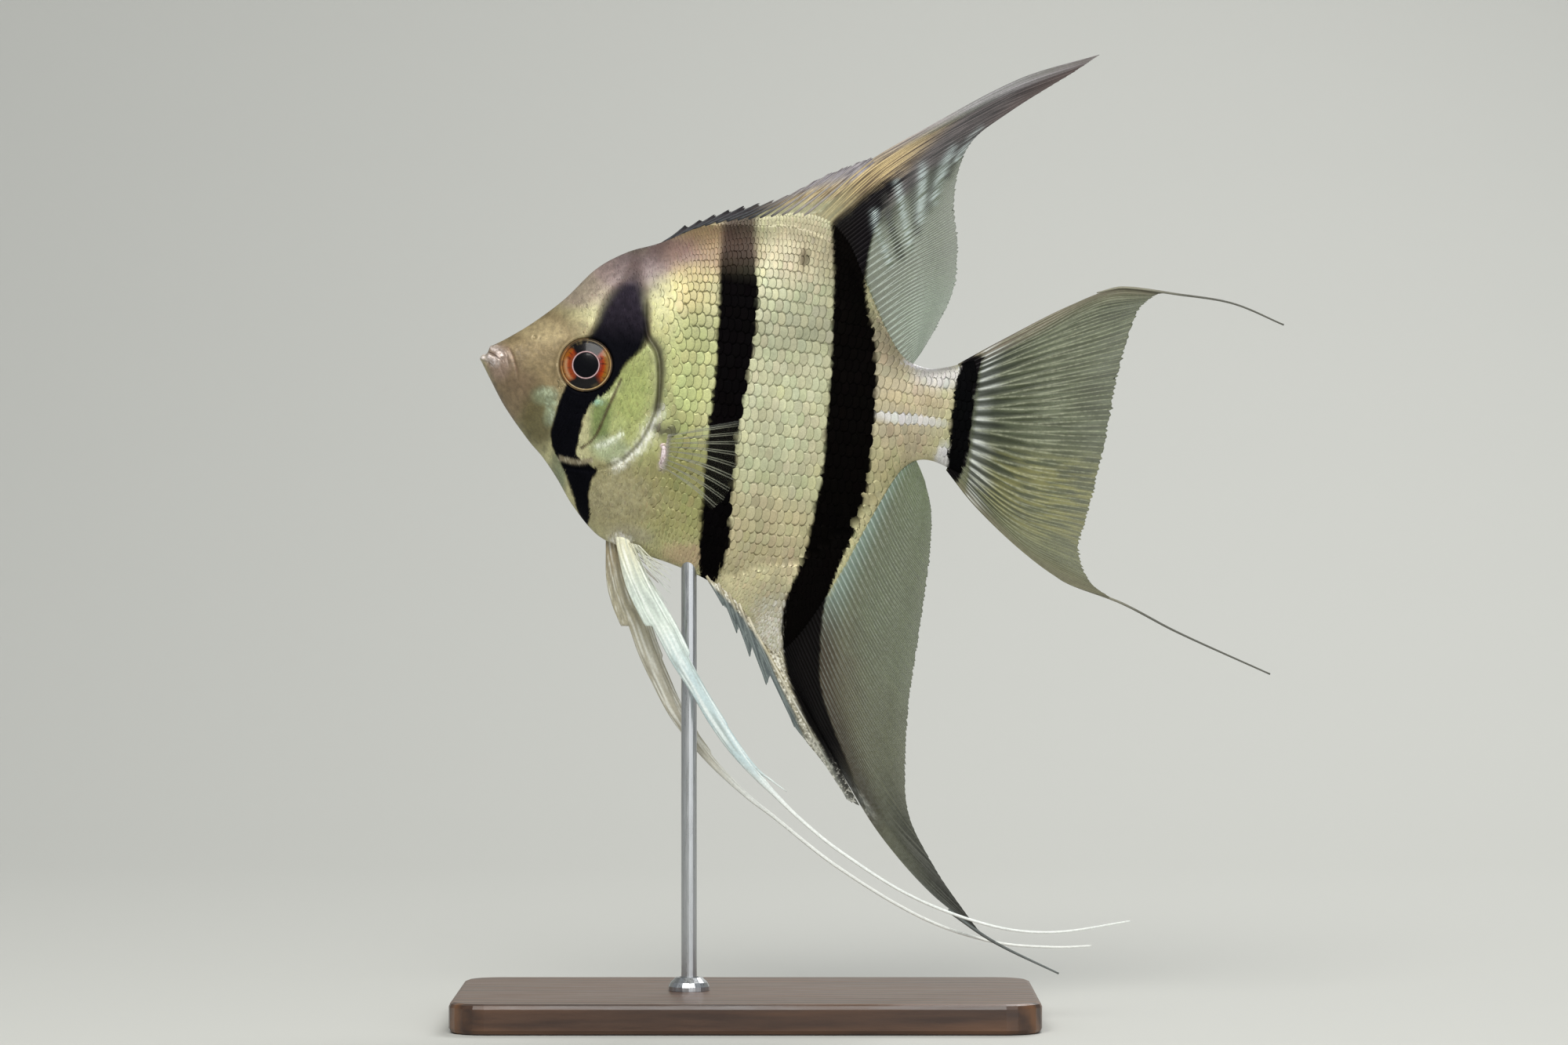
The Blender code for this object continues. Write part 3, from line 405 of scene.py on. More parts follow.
# soft patches of colour: middle (along, up), reach (along, up), colour, strength
flankColours = [
    # whole stretches of the body
    ((30.0, -3.0), (11.0, 26.0), srgb(178, 182, 124), 1.0),
    ((50.5, 0.0), (10.5, 40.0), srgb(190, 190, 154), 1.0),
    ((50.0, -26.0), (12.0, 12.0), srgb(190, 180, 142), 0.9),
    ((54.0, -38.0), (7.0, 8.0), srgb(148, 141, 114), 0.9),
    ((70.0, 4.0), (9.0, 22.0), srgb(178, 166, 136), 1.0),
    ((68.0, -14.0), (6.0, 10.0), srgb(182, 174, 132), 0.8),
    # the grey on top of the tail stalk, set darker in part as painted shade on the top of the body
    ((76.0, 6.2), (6.0, 2.8), srgb(170, 168, 166), 0.85),
    ((71.0, -1.7), (8.0, 0.95), srgb(214, 214, 214), 0.7),
    ((72.0, 1.2), (7.0, 1.5), srgb(184, 170, 132), 0.6),
    ((78.0, -7.4), (1.6, 3.0), srgb(206, 206, 210), 0.8),
    ((51.0, 24.0), (8.0, 7.0), srgb(196, 184, 150), 0.85),
    ((36.0, 22.5), (9.0, 5.5), srgb(152, 122, 88), 0.9),
    ((29.0, 20.5), (7.0, 4.6), srgb(124, 98, 89), 0.95),
    ((33.5, 15.5), (5.0, 5.0), srgb(180, 162, 108), 0.7),
    ((21.5, 17.0), (8.0, 5.0), srgb(152, 131, 126), 0.95),
    ((36.0, -18.0), (9.0, 12.0), srgb(150, 148, 92), 0.9),
    ((26.0, -20.0), (9.0, 8.0), srgb(142, 134, 94), 0.95),
    ((28.0, -26.4), (5.0, 2.2), srgb(158, 152, 128), 0.7),
    ((15.0, -18.0), (2.0, 5.0), srgb(112, 118, 90), 0.8),
    ((38.0, -28.5), (5.0, 2.4), srgb(186, 160, 128), 0.7),
    # the head
    ((9.0, 2.0), (12.0, 12.0), srgb(136, 119, 86), 1.0),
    ((9.6, 5.4), (5.2, 2.6), srgb(174, 157, 118), 0.75),
    ((6.0, 0.6), (2.6, 2.4), srgb(108, 92, 66), 0.7),
    ((14.0, 12.6), (7.0, 3.6), srgb(152, 136, 122), 0.85),
    ((6.0, -6.0), (5.0, 7.0), srgb(112, 94, 72), 0.9),
    ((3.0, -0.5), (2.8, 4.0), srgb(134, 114, 100), 0.9),
    ((10.8, -9.5), (4.0, 6.0), srgb(84, 76, 44), 0.9),
    ((11.6, -5.4), (2.7, 1.9), srgb(122, 129, 100), 0.85),
    ((12.6, -8.2), (1.2, 2.4), srgb(134, 142, 112), 0.7),
    ((21.4, -7.5), (2.6, 6.0), srgb(116, 132, 76), 0.95),
    ((25.6, -3.4), (4.0, 8.0), srgb(154, 162, 98), 1.0),
    ((28.8, 10.4), (3.0, 6.6), srgb(156, 148, 98), 0.5),
    ((25.0, -21.0), (7.0, 5.0), srgb(146, 138, 104), 0.6),
    ((26.0, 2.2), (3.0, 3.2), srgb(130, 136, 78), 0.7),
    ((24.2, -8.6), (2.2, 2.2), srgb(172, 180, 118), 0.6),
    ((23.4, -12.6), (3.6, 2.4), srgb(164, 174, 136), 0.9),
]
glitter = [     # silvery flecks
    ((11.9, -4.6), (2.1, 1.3), srgb(172, 182, 154), 0.68),
    ((12.8, -6.6), (1.3, 1.6), srgb(164, 178, 150), 0.75),
    ((13.2, -8.6), (0.8, 1.5), srgb(166, 176, 156), 0.75),
    ((20.2, -5.2), (1.8, 0.8), srgb(176, 206, 186), 0.6),
    ((15.4, -18.8), (1.4, 3.4), srgb(150, 162, 128), 0.6),
    ((29.4, -9.4), (2.2, 2.6), srgb(208, 206, 178), 0.8),
    ((26.6, -27.4), (2.6, 1.6), srgb(236, 234, 230), 0.8),
    ((24.5, -20.5), (8.5, 7.0), srgb(184, 178, 146), 0.36),
    ((34.0, -22.0), (6.5, 6.5), srgb(186, 180, 132), 0.4),
    ((30.0, 11.5), (4.0, 6.5), srgb(206, 200, 158), 0.4),
    ((54.0, -39.5), (5.5, 7.5), srgb(230, 228, 218), 0.65),
    ((80.0, 7.2), (1.8, 1.6), srgb(240, 240, 246), 0.9),
    ((72.0, 7.6), (4.0, 1.1), srgb(226, 226, 238), 0.8),
]
shadowColours = [   # dark lines and hazes: line, half width, colour, strength
    ([(26.0, 9.0), (27.2, 6.6), (29.4, 4.2), (30.3, -0.8), (30.2, -5.0)], 0.95, srgb(54, 48, 34), 0.9),
    ([(30.0, -5.6), (28.4, -10.4), (25.6, -14.2)], 0.3, srgb(90, 84, 50), 0.6),
    ([(23.8, -1.0), (22.4, -5.4), (21.0, -10.0), (20.2, -11.6), (18.6, -13.0)], 0.24, srgb(66, 48, 26), 1.0),
    ([(29.0, -5.4), (26.7, -8.2), (22.7, -10.8), (20.6, -12.2)], 0.16, srgb(128, 128, 78), 0.6),
    ([(1.2, 0.84), (2.0, 0.72), (2.7, 0.4), (3.3, 0.0)], 0.12, srgb(84, 60, 52), 0.6),
    ([(4.4, 1.9), (5.2, 0.9), (5.8, -0.3), (6.4, -1.8)], 0.2, srgb(128, 100, 84), 0.45),
    ([(31.6, -1.4), (33.0, -5.0), (33.6, -8.0)], 0.35, srgb(110, 104, 72), 0.4),
    ([(30.6, -8.2), (31.6, -8.9), (33.2, -8.4)], 0.95, srgb(66, 62, 50), 0.85),
]
brightLines = [
    ([(30.9, -5.2), (29.5, -8.6), (28.1, -11.8), (26.0, -14.2), (24.6, -15.3)], 0.85, srgb(246, 246, 236), 0.9),
    ([(24.9, -10.0), (23.0, -11.6), (21.2, -12.4)], 0.5, srgb(240, 244, 226), 0.85),
    ([(20.4, -4.7), (22.6, -3.6), (23.6, -1.8)], 0.5, srgb(206, 212, 160), 0.8),
    ([(19.4, -5.2), (20.6, -5.0)], 0.5, srgb(120, 176, 156), 0.6),
    ([(0.0, -0.1), (1.0, 0.0), (2.2, -0.5)], 0.85, srgb(210, 200, 196), 1.0),
    ([(1.4, 1.7), (2.3, 1.45), (3.4, 0.7)], 0.62, srgb(206, 192, 184), 0.95),
    ([(31.9, -11.2), (32.4, -12.9), (32.2, -14.8)], 0.55, srgb(214, 190, 196), 0.85),
]
markings = {
    "ground": srgb(188, 184, 140), "smoke": srgb(62, 52, 62), "barRim": srgb(88, 60, 30),
    "bars": {"eyeBar": srgb(17, 17, 22), "middle": srgb(13, 11, 12), "rear": srgb(12, 10, 9),
             "tailRoot": srgb(12, 12, 13)},
    "eyeBarTop": srgb(44, 38, 46),                                # added where the eye bar fades on the nape
    "throatFlap": (srgb(128, 118, 94), srgb(178, 170, 146)),
    "spot": ((51.2, 22.6), (0.75, 2.0), srgb(60, 50, 38), 0.62),    # under the dorsal fin, as in flankColours
}


# the fish's colour at each place, and how black its bars are there
def tintAt(along, up, out):
    speckle = grain(along, up, out, 1.3, 3.0)
    cloud = grain(along, up, out, 5.0, 9.0)
    fleck = grain(along, up, out, 0.42, 14.0, 2)

    def distance(middle, reach):
        return np.hypot((along - middle[0]) / reach[0], (up - middle[1]) / reach[1])

    colour = markings["ground"]
    for middle, reach, patch, strength in flankColours:
        colour = mixed(colour, patch, strength * fade(0.45, 1.15, distance(middle, reach) + 0.12 * cloud))
    for middle, reach, patch, strength in glitter:
        weight = strength * fade(0.3, 1.1, distance(middle, reach) + 0.25 * speckle)
        colour = mixed(colour, patch, weight * (0.3 + 0.7 * ease(-0.15, 0.3, fleck)))
    for lines in (brightLines, shadowColours):
        for points, width, patch, strength in lines:
            weight = strength * nearLine(points, along, up, width * (1 + 0.5 * speckle))
            if lines is brightLines:
                weight = weight * (0.45 + 0.55 * ease(-0.2, 0.25, fleck))
            colour = mixed(colour, patch, weight)
    # painted shade: from behind the head back, the body is darker towards the top, as the light falls
    colour = colour * (1 - 0.33 * ease(1.0, 10.0, up) * ease(29.0, 35.0, along))[:, None]
    haze = 0.5 * ease(9.5, 16.0, up) * fade(2.0, 7.0, np.abs(along - 24.0))
    haze += 0.75 * barAmount("middle", along, up) * ease(16, 24, up)
    colour = mixed(colour, markings["smoke"], haze)
    black = np.zeros(len(along))
    for name, patch in markings["bars"].items():
        ragged = 0.5 if name == "tailRoot" else 0.16
        amount = barAmount(name, along + ragged * speckle + 0.3 * (ragged - 0.16) * fleck, up + 0.2 * speckle)
        if name == "middle":
            amount = amount * (1 - 0.55 * ease(17, 25, up))
        if name == "eyeBar":
            amount = 1 - (1 - amount) ** (1 + 1.4 * ease(2, 7, up))
            patch = patch + markings["eyeBarTop"] * ease(4, 12, up)[:, None] * (1 + 0.5 * speckle[:, None])
        colour = mixed(colour, markings["barRim"], 0.35 * np.sin(np.clip(amount, 0, 1) * math.pi) ** 2)
        colour = mixed(colour, patch, amount)
        black = np.maximum(black, amount)
    gap, _, share = lineDistance(head["rolls"]["throatFlap"][0], along, up)
    flap = fade(0.3, 0.62, gap) * ease(0.0, 0.12, share) * fade(0.93, 1.0, share) * 0.92
    colour = mixed(colour, mixed(*markings["throatFlap"], ease(0.0, 0.5, fleck)), flap)
    black = black * (1 - flap)
    middle, reach, patch, strength = markings["spot"]
    spot = strength * fade(0.4, 1.5, distance(middle, reach) + 0.3 * speckle)
    colour = mixed(colour, patch, spot)
    mottled = grain(along, up, out, 0.85, 23.0, 2) * fade(28, 33, along) * (1 - black)
    colour = colour * (1 + 0.3 * np.clip(mottled, -0.6, 0.3))[:, None]
    colour = colour * (1 + 0.10 * speckle + 0.06 * cloud + 0.12 * fleck * fade(18, 30, along))[:, None]
    return np.clip(colour, 0, 1), np.maximum(black, spot)


# one skin over head, jaws, trunk and tail stalk
skin = {"snoutStep": 0.1, "headStep": 0.19, "flankStep": 0.62, "sideCells": 136, "edgeCrowding": 0.42}


def bodyEdges(along):
    top = smoothTable(body["top"], along) - body["inset"] * 0.7
    belly = smoothTable(body["belly"], along) + body["inset"] * 0.7
    return top, np.minimum(belly, top - 0.05)


def buildSkin():
    stations = np.concatenate([[-0.02, 0.03], np.arange(0.1, 2.4, skin["snoutStep"]),
                               np.arange(2.4, 31.5, skin["headStep"]),
                               np.arange(31.5, body["end"], skin["flankStep"]), [body["end"]]])
    cells = skin["sideCells"]
    k = np.linspace(-1, 1, cells + 1)
    share = skin["edgeCrowding"] * np.sin(k * math.pi / 2) + (1 - skin["edgeCrowding"]) * k
    top, belly = bodyEdges(stations)
    along = np.repeat(stations[:, None], cells + 1, axis=1)
    up = (top + belly)[:, None] / 2 + (top - belly)[:, None] / 2 * share[None, :]
    out = surface(along.ravel(), up.ravel()).reshape(along.shape)
    out[:, 0] = out[:, -1] = 0
    left = np.stack([along, -out, up], axis=2)
    right = np.stack([along, out, up], axis=2)[:, -2:0:-1]
    ring = np.concatenate([left, right], axis=1)
    rows, columns = ring.shape[:2]
    points = ring.reshape(-1, 3)
    bump = grain(points[:, 0], points[:, 2], points[:, 1], 0.55, 1.0) * 0.02
    ownSide = np.sign(points[:, 1])
    points[:, 1] += ownSide * bump * (np.abs(points[:, 1]) > 0.5)
    colour, black = tintAt(points[:, 0], points[:, 2], points[:, 1])
    faces = list(gridFaces(rows, columns, wrap=True, flip=True))
    faces += [list(range(columns))[::1], [(rows - 1) * columns + i for i in range(columns)][::-1]]
    column = np.tile(np.concatenate([(share + 1) / 2, (share[-2:0:-1] + 1) / 2]), rows)
    row = np.repeat((stations - stations[0]) / (stations[-1] - stations[0]), columns)
    uv = np.stack([np.where(ownSide <= 0, 0.01 + 0.48 * row, 0.99 - 0.48 * row), 0.02 + 0.96 * column], axis=1)
    obj = makeMesh("skin", points, faces, {"black": black}, colour, uv)
    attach(obj, "root")
    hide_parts("head", "upper_jaw", "lower_jaw", "gill_cover_left", "gill_cover_right", "trunk",
                "tail_stalk")
    obj.data.materials.append(skinMaterial)
    print("skin:", len(obj.data.polygons), "faces")


def makeSkinMaterial(name, speckleScale, shine):
    made, tree, shader = newMaterial(name)
    place, black = attribute(tree, "place", "Vector"), attribute(tree, "black")
    fine = noiseNode(tree, place, speckleScale, 4.0, 0.7)
    broad = noiseNode(tree, place, 0.35, 3.0)
    grey = mathNode(tree, "ADD", easeNode(tree, fine, 0.25, 0.75, 0.78, 1.12),
                    easeNode(tree, broad, 0.3, 0.7, -0.05, 0.06))
    silver = easeNode(tree, fine, 0.3, 0.7, shine * 0.6, shine * 1.2)
    rough = easeNode(tree, fine, 0.2, 0.8, 0.34, 0.5)
    height = mathNode(tree, "ADD", fine, mathNode(tree, "MULTIPLY", noiseNode(tree, place, 1.6, 4.0), 0.6))
    feed(shader, {
        "Base Color": brightened(tree, attribute(tree, "tint", "Color"), grey),
        "Metallic": mathNode(tree, "ADD", silver, black, clamp=True),       # a black metal has no gleam
        "Roughness": mathNode(tree, "ADD", rough, mathNode(tree, "MULTIPLY", black, 0.3)),
        "Normal": bumpNode(tree, height, 0.35, 0.00006), "Specular IOR Level": 0.35, "Coat Roughness": 0.2,
        "Coat Weight": mathNode(tree, "SUBTRACT", 0.2, mathNode(tree, "MULTIPLY", black, 0.2), clamp=True)})
    return made


skinMaterial = makeSkinMaterial("fishSkin", 3.2, 0.3)
buildSkin()


# the coat: thin overlapping scales in rows along the body, smallest on the face
coat = {
    "pitchAlong": 1.25, "pitchUp": 2.02, "length": 2.0, "height": 1.22, "lift": 0.044, "thickness": 0.022,
    "dome": 0.02, "points": 10, "front": 12.6, "back": 80.6, "coverMargin": 0.25, "patch": 0.003, "start": 45.0,
    # a scale's middle, inner ring, outline and under side: how domed and how far towards its rim; the under
    # side's value over 1 paints light on its side wall, against the shade it falls in
    "domed": (1.0, 0.75, 0.0, 0.0), "rim": (0.0, 0.2, 1.0, 1.7),
}


def scaleSize(along, up):
    top, belly = bodyEdges(along)
    edge = np.abs(2 * up - top - belly) / (top - belly)
    size = 1 - 0.42 * ease(0.62, 1.0, edge)
    size = size * (1 - 0.5 * fade(22.0, 31.0, along))
    size = size * (1 - 0.3 * ease(-11.0, -19.0, up) * fade(31, 42, along))
    size = size * (1 - 0.22 * ease(11.0, 17.0, up) * fade(33, 42, along))
    gap, share = coverSide(along, up)
    onCover = ease(0.16, 0.24, share) * fade(0.95, 1.0, share) * fade(-1.0, 0.6, gap)
    size = size * (1 - 0.32 * onCover * (along > 20))
    behind = (share > 0.16) & (share < 0.95) & (gap > 0)
    size = size * (1 - 0.42 * behind * fade(0.4, 3.4, gap))
    size = size * (1 - 0.26 * ease(-20.0, -30.0, up)) * (1 - 0.3 * ease(-31.0, -39.0, up))
    size = size * (1 - 0.24 * ease(12.0, 21.0, up))
    return np.maximum(size * (1 - 0.2 * ease(66, 72, along)), 0.34)


# rows of roots over one flank, each row half a scale behind the next
def scaleRoots():
    stations = np.arange(coat["front"], coat["back"] + 0.25, 0.25)
    top, belly = bodyEdges(stations)
    share = np.linspace(0, 1, 241)
    up = belly[:, None] + (top - belly)[:, None] * share[None, :]
    along = np.repeat(stations[:, None], len(share), axis=1)
    size = scaleSize(along.ravel(), up.ravel()).reshape(up.shape)
    density = 1 / (coat["pitchUp"] * size)
    count = np.cumsum((density[:, 1:] + density[:, :-1]) / 2 * np.diff(up, axis=1), axis=1)
    count = np.concatenate([np.zeros((len(stations), 1)), count], axis=1)
    zero = np.array([np.interp(0.0, up[i], count[i]) for i in range(len(stations))])
    count -= zero[:, None]
    found = []
    for row in range(int(np.floor(count.min())), int(np.ceil(count.max())) + 1):
        inside = (count[:, 0] + 0.12 < row) & (row < count[:, -1] - 0.12)
        if not inside.any():
            continue
        level = np.array([np.interp(row, count[i], up[i]) for i in range(len(stations))])
        width = np.array([np.interp(level[i], up[i], size[i]) for i in range(len(stations))])
        for direction in (1, -1):
            here = coat["start"] + (0.5 * coat["pitchAlong"] if row % 2 else 0.0)
            if direction < 0:
                here -= coat["pitchAlong"]
            while coat["front"] < here < coat["back"]:
                if np.interp(here, stations, inside) > 0.5:
                    found.append((here, np.interp(here, stations, level)))
                here += direction * coat["pitchAlong"] * np.interp(here, stations, width)
    return np.array(found)


def normalAt(along, up):
    step = 0.12
    top, belly = bodyEdges(along)
    up = np.clip(up, belly + 0.25, top - 0.25)
    ahead = surface(along + step, up) - surface(along - step, up)
    above = surface(along, up + step) - surface(along, up - step)
    normal = np.stack([-ahead / (2 * step), np.ones_like(ahead), -above / (2 * step)], axis=1)
    return normal / np.linalg.norm(normal, axis=1)[:, None]


# the roots that carry a scale: none in the eye, in the folds or across the gill cover's edge
def openRoots(roots, length):
    eyeAway = eyeGap(roots[:, 0] + 0.5 * length, roots[:, 1])
    rootSide, share = coverSide(roots[:, 0], roots[:, 1])
    tipSide, _ = coverSide(roots[:, 0] + length, roots[:, 1])
    onEdge = (share > 0.2) & (share < 0.99)
    crosses = onEdge & (rootSide < 0) & (tipSide > -coat["coverMargin"])
    tucked = onEdge & (rootSide >= -0.2) & (rootSide < 0.5)
    keep = (eyeAway > head["eyeRadius"] + 0.75) & ~crosses & ~tucked
    folds = [(head["creases"][fold][0], 0.6, near) for fold, near in
             (("preopercle", 0.34), ("throat", 0.5), ("subopercle", 0.2))]
    for points, share, near in folds + [(head["rolls"]["throatFlap"][0], 0.5, 0.7)]:
        keep &= lineDistance(points, roots[:, 0] + share * length, roots[:, 1])[0] > near
    return keep & ~((roots[:, 0] < 16) & (roots[:, 1] > 2) & (roots[:, 1] < 9))


# how the scales lean, in radians, with the outline above and below them
def scaleFlow(roots, tilt):
    stations = np.arange(0, 82.0, 0.5)
    slopes = [np.interp(roots[:, 0], stations, np.gradient(smoothTable(body[key], stations), 0.5))
              for key in ("top", "belly")]
    flow = np.where(tilt > 0, slopes[0], slopes[1]) * tilt**2 * 0.55
    return np.arctan(np.clip(flow, -0.8, 0.8)) + random.normal(0, 0.05, len(roots))


def buildScales(side, sideName, roots):
    size = scaleSize(roots[:, 0], roots[:, 1])
    roots = roots + random.normal(0, 0.07, roots.shape) * size[:, None]
    keep = openRoots(roots, coat["length"] * size)
    roots, size = roots[keep], size[keep]
    count, length = len(roots), coat["length"] * size
    top, belly = bodyEdges(roots[:, 0])
    tilt = np.clip((roots[:, 1] - (top + belly) / 2) / ((top - belly) / 2), -1, 1)
    flow = scaleFlow(roots, tilt)

    n = coat["points"]
    turn = 2 * math.pi * (np.arange(n) + 0.5) / n
    outline = np.stack([0.62 + np.where(np.cos(turn) > 0, 0.38, 0.78) * np.cos(turn), 0.54 * np.sin(turn)],
                       axis=1)
    centre = np.array([[0.7, 0.0]])
    template = np.concatenate([centre, centre + (outline - centre) * 0.68, outline,
                               centre + (outline - centre) * 0.98])
    ringOf = np.repeat([0, 1, 2, 3], [1, n, n, n])
    width = coat["pitchUp"] * coat["height"] * size * random.uniform(0.9, 1.08, count)
    dx = template[None, :, 0] * length[:, None]
    dy = template[None, :, 1] * width[:, None]
    along = roots[:, :1] + dx * np.cos(flow)[:, None] - dy * np.sin(flow)[:, None]
    up = roots[:, 1:] + dx * np.sin(flow)[:, None] + dy * np.cos(flow)[:, None]
    topV, bellyV = bodyEdges(along.ravel())
    flatAlong, flatUp = along.ravel(), np.clip(up.ravel(), bellyV + 0.06, topV - 0.06)
    nearEdge = ease(0.55, 0.9, np.abs(tilt))
    lift = coat["lift"] * (0.3 + 0.7 * size) * (0.2 + 0.8 * ease(27, 33, roots[:, 0]))
    lift = lift * (1 - 0.3 * ease(66, 71, roots[:, 0]))
    lift = lift * (1 - 0.2 * ease(-9, -15, roots[:, 1]) * fade(34, 42, roots[:, 0]))
    lift = lift * random.uniform(0.85, 1.15, count) * (1 - 0.35 * nearEdge)
    rise = -0.05 + (lift[:, None] + 0.05) * np.clip(template[None, :, 0], 0, 1) ** 0.8
    dome = coat["dome"] * np.array(coat["domed"])[ringOf][None, :] * size[:, None]
    under = np.where(ringOf == 3, coat["thickness"], 0.0)[None, :]
    base = np.stack([flatAlong, surface(flatAlong, flatUp), flatUp], axis=1)
    points = base + normalAt(flatAlong, flatUp) * (rise + dome - under).ravel()[:, None]
    points[:, 1] *= side

    # bars run through the scales, a little stepped by each one
    middle = roots + np.stack([0.62 * length * np.cos(flow), 0.62 * length * np.sin(flow)], axis=1)
    seenAlong = (0.55 * along + 0.45 * middle[:, :1]).ravel()
    seenUp = (0.55 * up + 0.45 * middle[:, 1:]).ravel()
    colour, black = tintAt(seenAlong, seenUp, side * 6.0)
    per = len(template)
    colour, black = colour.reshape(count, per, 3), black.reshape(count, per)
    colour = colour * random.normal(1.0, 0.055, (count, 1, 1)) * random.normal(1.0, 0.02, (count, 1, 3))
    breast = (ease(-11, -16, roots[:, 1]) * fade(34, 40, roots[:, 0]))[:, None]
    honeycomb = np.maximum(ease(43, 47, roots[:, :1]), breast)
    # rims darker on the front flank and paler from the second bar back, the scales' own colour; there the pale
    # rims, and most the under side, are made brighter still as painted light against the shade the raised edges
    # cast
    rim = np.array(coat["rim"])[ringOf][None, :] * random.uniform(0.55, 1.3, (count, 1))
    backEdge = np.clip(template[None, :, 0] * 1.6 - 0.35, 0, 1)
    shade = (1.03 - 0.1 * rim * backEdge) * (1 - honeycomb) + (0.86 + 0.4 * rim * backEdge) * honeycomb
    strength = (0.2 + 0.8 * ease(26, 34, roots[:, :1])) * (1 - 0.5 * ease(-10, -18, roots[:, 1:]))
    strength = np.maximum(strength * (1 - 0.6 * nearEdge[:, None]), 0.9 * breast)
    shade = 1 + (shade - 1) * (1 - black) * strength
    colour = np.clip(colour * shade[:, :, None], 0, 1).reshape(-1, 3)

    after = [(i + 1) % n for i in range(n)]
    one = [(0, 1 + i, 1 + j) for i, j in enumerate(after)]      # the faces of one scale
    one += [(o + i, o + n + i, o + n + j, o + j) for i, j in enumerate(after) for o in (1, 1 + n)]
    one.append(list(range(1 + 2 * n, 1 + 3 * n))[::-1])
    one = one if side > 0 else [f[::-1] for f in one]
    faces = [[v + s * per for v in f] for s in range(count) for f in one]
    span = (roots[:, 0] + 0.02) / (body["end"] + 0.02)
    upShare = (roots[:, 1] - belly) / (top - belly)
    rootUv = np.stack([0.01 + 0.48 * span if side < 0 else 0.99 - 0.48 * span, 0.02 + 0.96 * upShare], axis=1)
    uv = rootUv[:, None, :] + coat["patch"] * (template[None, :, :] - [0.5, 0.0]) * [-side, 1]
    obj = makeMesh("scales_" + sideName, points, faces, {"black": black.ravel()}, colour, uv.reshape(-1, 2))
    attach(obj, "root")
    obj.data.materials.append(scaleMaterial)
    print(obj.name + ":", count, "scales")


scaleMaterial = makeSkinMaterial("fishScales", 4.5, 0.42)
roots = scaleRoots()
for side, sideName in sides:
    buildScales(side, sideName, roots)


# eyes
# rest: how far round it the skin is measured, to seat it level
eye = {"pupil": 2.1, "ring": 2.32, "rings": 72, "spokes": 120, "back": 1.2, "rest": 5.2}


# the places on the eye: how far from its middle and which way round, and the points
def eyeShape(side):
    s0, u0 = np.array([pose["eyeAlong"]]), np.array([pose["eyeUp"]])
    rest = eye["rest"]
    behind, before = surface(s0 + rest, u0), surface(s0 - rest, u0)
    above, below = surface(s0, u0 + rest), surface(s0, u0 - rest)
    level = (behind + before + above + below)[0] / 4 - 0.06
    radius = np.concatenate([np.linspace(0.02, 1, eye["rings"]) * head["eyeRadius"], [head["eyeRadius"], 0.02]])
    turn = 2 * math.pi * np.arange(eye["spokes"]) / eye["spokes"]
    r = np.repeat(radius[:, None], eye["spokes"], axis=1)
    a = np.repeat(turn[None, :], len(radius), axis=0)
    da, du = r * np.cos(a), r * np.sin(a)
    dome = head["eyeDome"] * (1 - (r / head["eyeRadius"]) ** 2) ** 0.9
    dome += 0.05 * bell(r, eye["ring"], 0.2) - 0.05 * bell(r, 3.9, 0.12)
    dome += 0.06 * bell(r, 4.08, 0.14)
    out = level + (behind - before)[0] / (2 * rest) * da + (above - below)[0] / (2 * rest) * du + dome
    out[-2:] -= eye["back"]
    points = np.stack([pose["eyeAlong"] + da, side * out, pose["eyeUp"] + du], axis=2).reshape(-1, 3)
    return points, r.ravel(), a.ravel(), da.ravel(), du.ravel()


def eyeColour(r, a):
    streak, cloud = ([noise.noise(Vector((math.cos(t) * wave, math.sin(t) * wave, q * step)))
                      for t, q in zip(a, r)] for wave, step in ((9, 0.6), (2, 0.9)))
    streak, cloud = np.array(streak), np.array(cloud)
    foreAft = np.abs(np.cos(a - 0.06))
    front, low = np.cos(a) < 0, -np.sin(a)
    fiery = ease(0.62, 0.86, foreAft + 0.14 * cloud) * ease(eye["ring"] - 0.1, eye["ring"] + 0.1, r)
    golden = ease(3.3, 3.8, r + 0.2 * cloud) * (1 - fiery)
    rimLight = 0.35 + 0.6 * ease(0.0, 0.8, low) + 0.25 * ease(0.3, 0.9, np.cos(a))
    rimLight = rimLight - 0.2 * front * (np.sin(a) > 0.5)
    colour = layers(
        srgb(13, 10, 12),                   # black band above and below the pupil
        (srgb(142, 38, 10), fiery),
        (srgb(176, 70, 16), fiery * ease(2.5, 3.2, r)),
        (srgb(150, 104, 30), fiery * ease(3.0, 3.5, r + 0.15 * cloud) * np.where(front, 0.7, 1.0)),
        (srgb(76, 24, 10), fiery * ease(0.05, 0.5, streak) * 0.8),
        (srgb(196, 152, 112), fiery * bell(r, 3.35, 0.3) * front * ease(-0.35, -0.05, low) * 0.8),
        (srgb(172, 88, 44), fiery * front * fade(2.5, 3.1, r) * 0.5),
        (srgb(104, 92, 62), golden * front * (low < 0) * ease(0.0, 0.4, streak + 0.2) * 0.8),
        (srgb(88, 74, 44), golden * ease(0.15, 0.5, cloud) * 0.6),
        (srgb(30, 24, 20), bell(r, 3.9, 0.1) * 0.6),
        (srgb(206, 176, 122), bell(r, 4.06, 0.085) * rimLight),
        (srgb(62, 50, 38), ease(4.14, 4.24, r) * np.where(front, 0.6, 0.9)),
        (srgb(146, 118, 82), ease(4.16, 4.3, r) * front * 0.55),
        (srgb(2, 2, 6), fade(eye["pupil"] - 0.06, eye["pupil"] + 0.02, r)),
        (srgb(238, 200, 200), bell(r, eye["pupil"] + 0.1, 0.075)))      # pale ring round the pupil
    return colour * (0.72 + 0.14 * streak)[:, None]


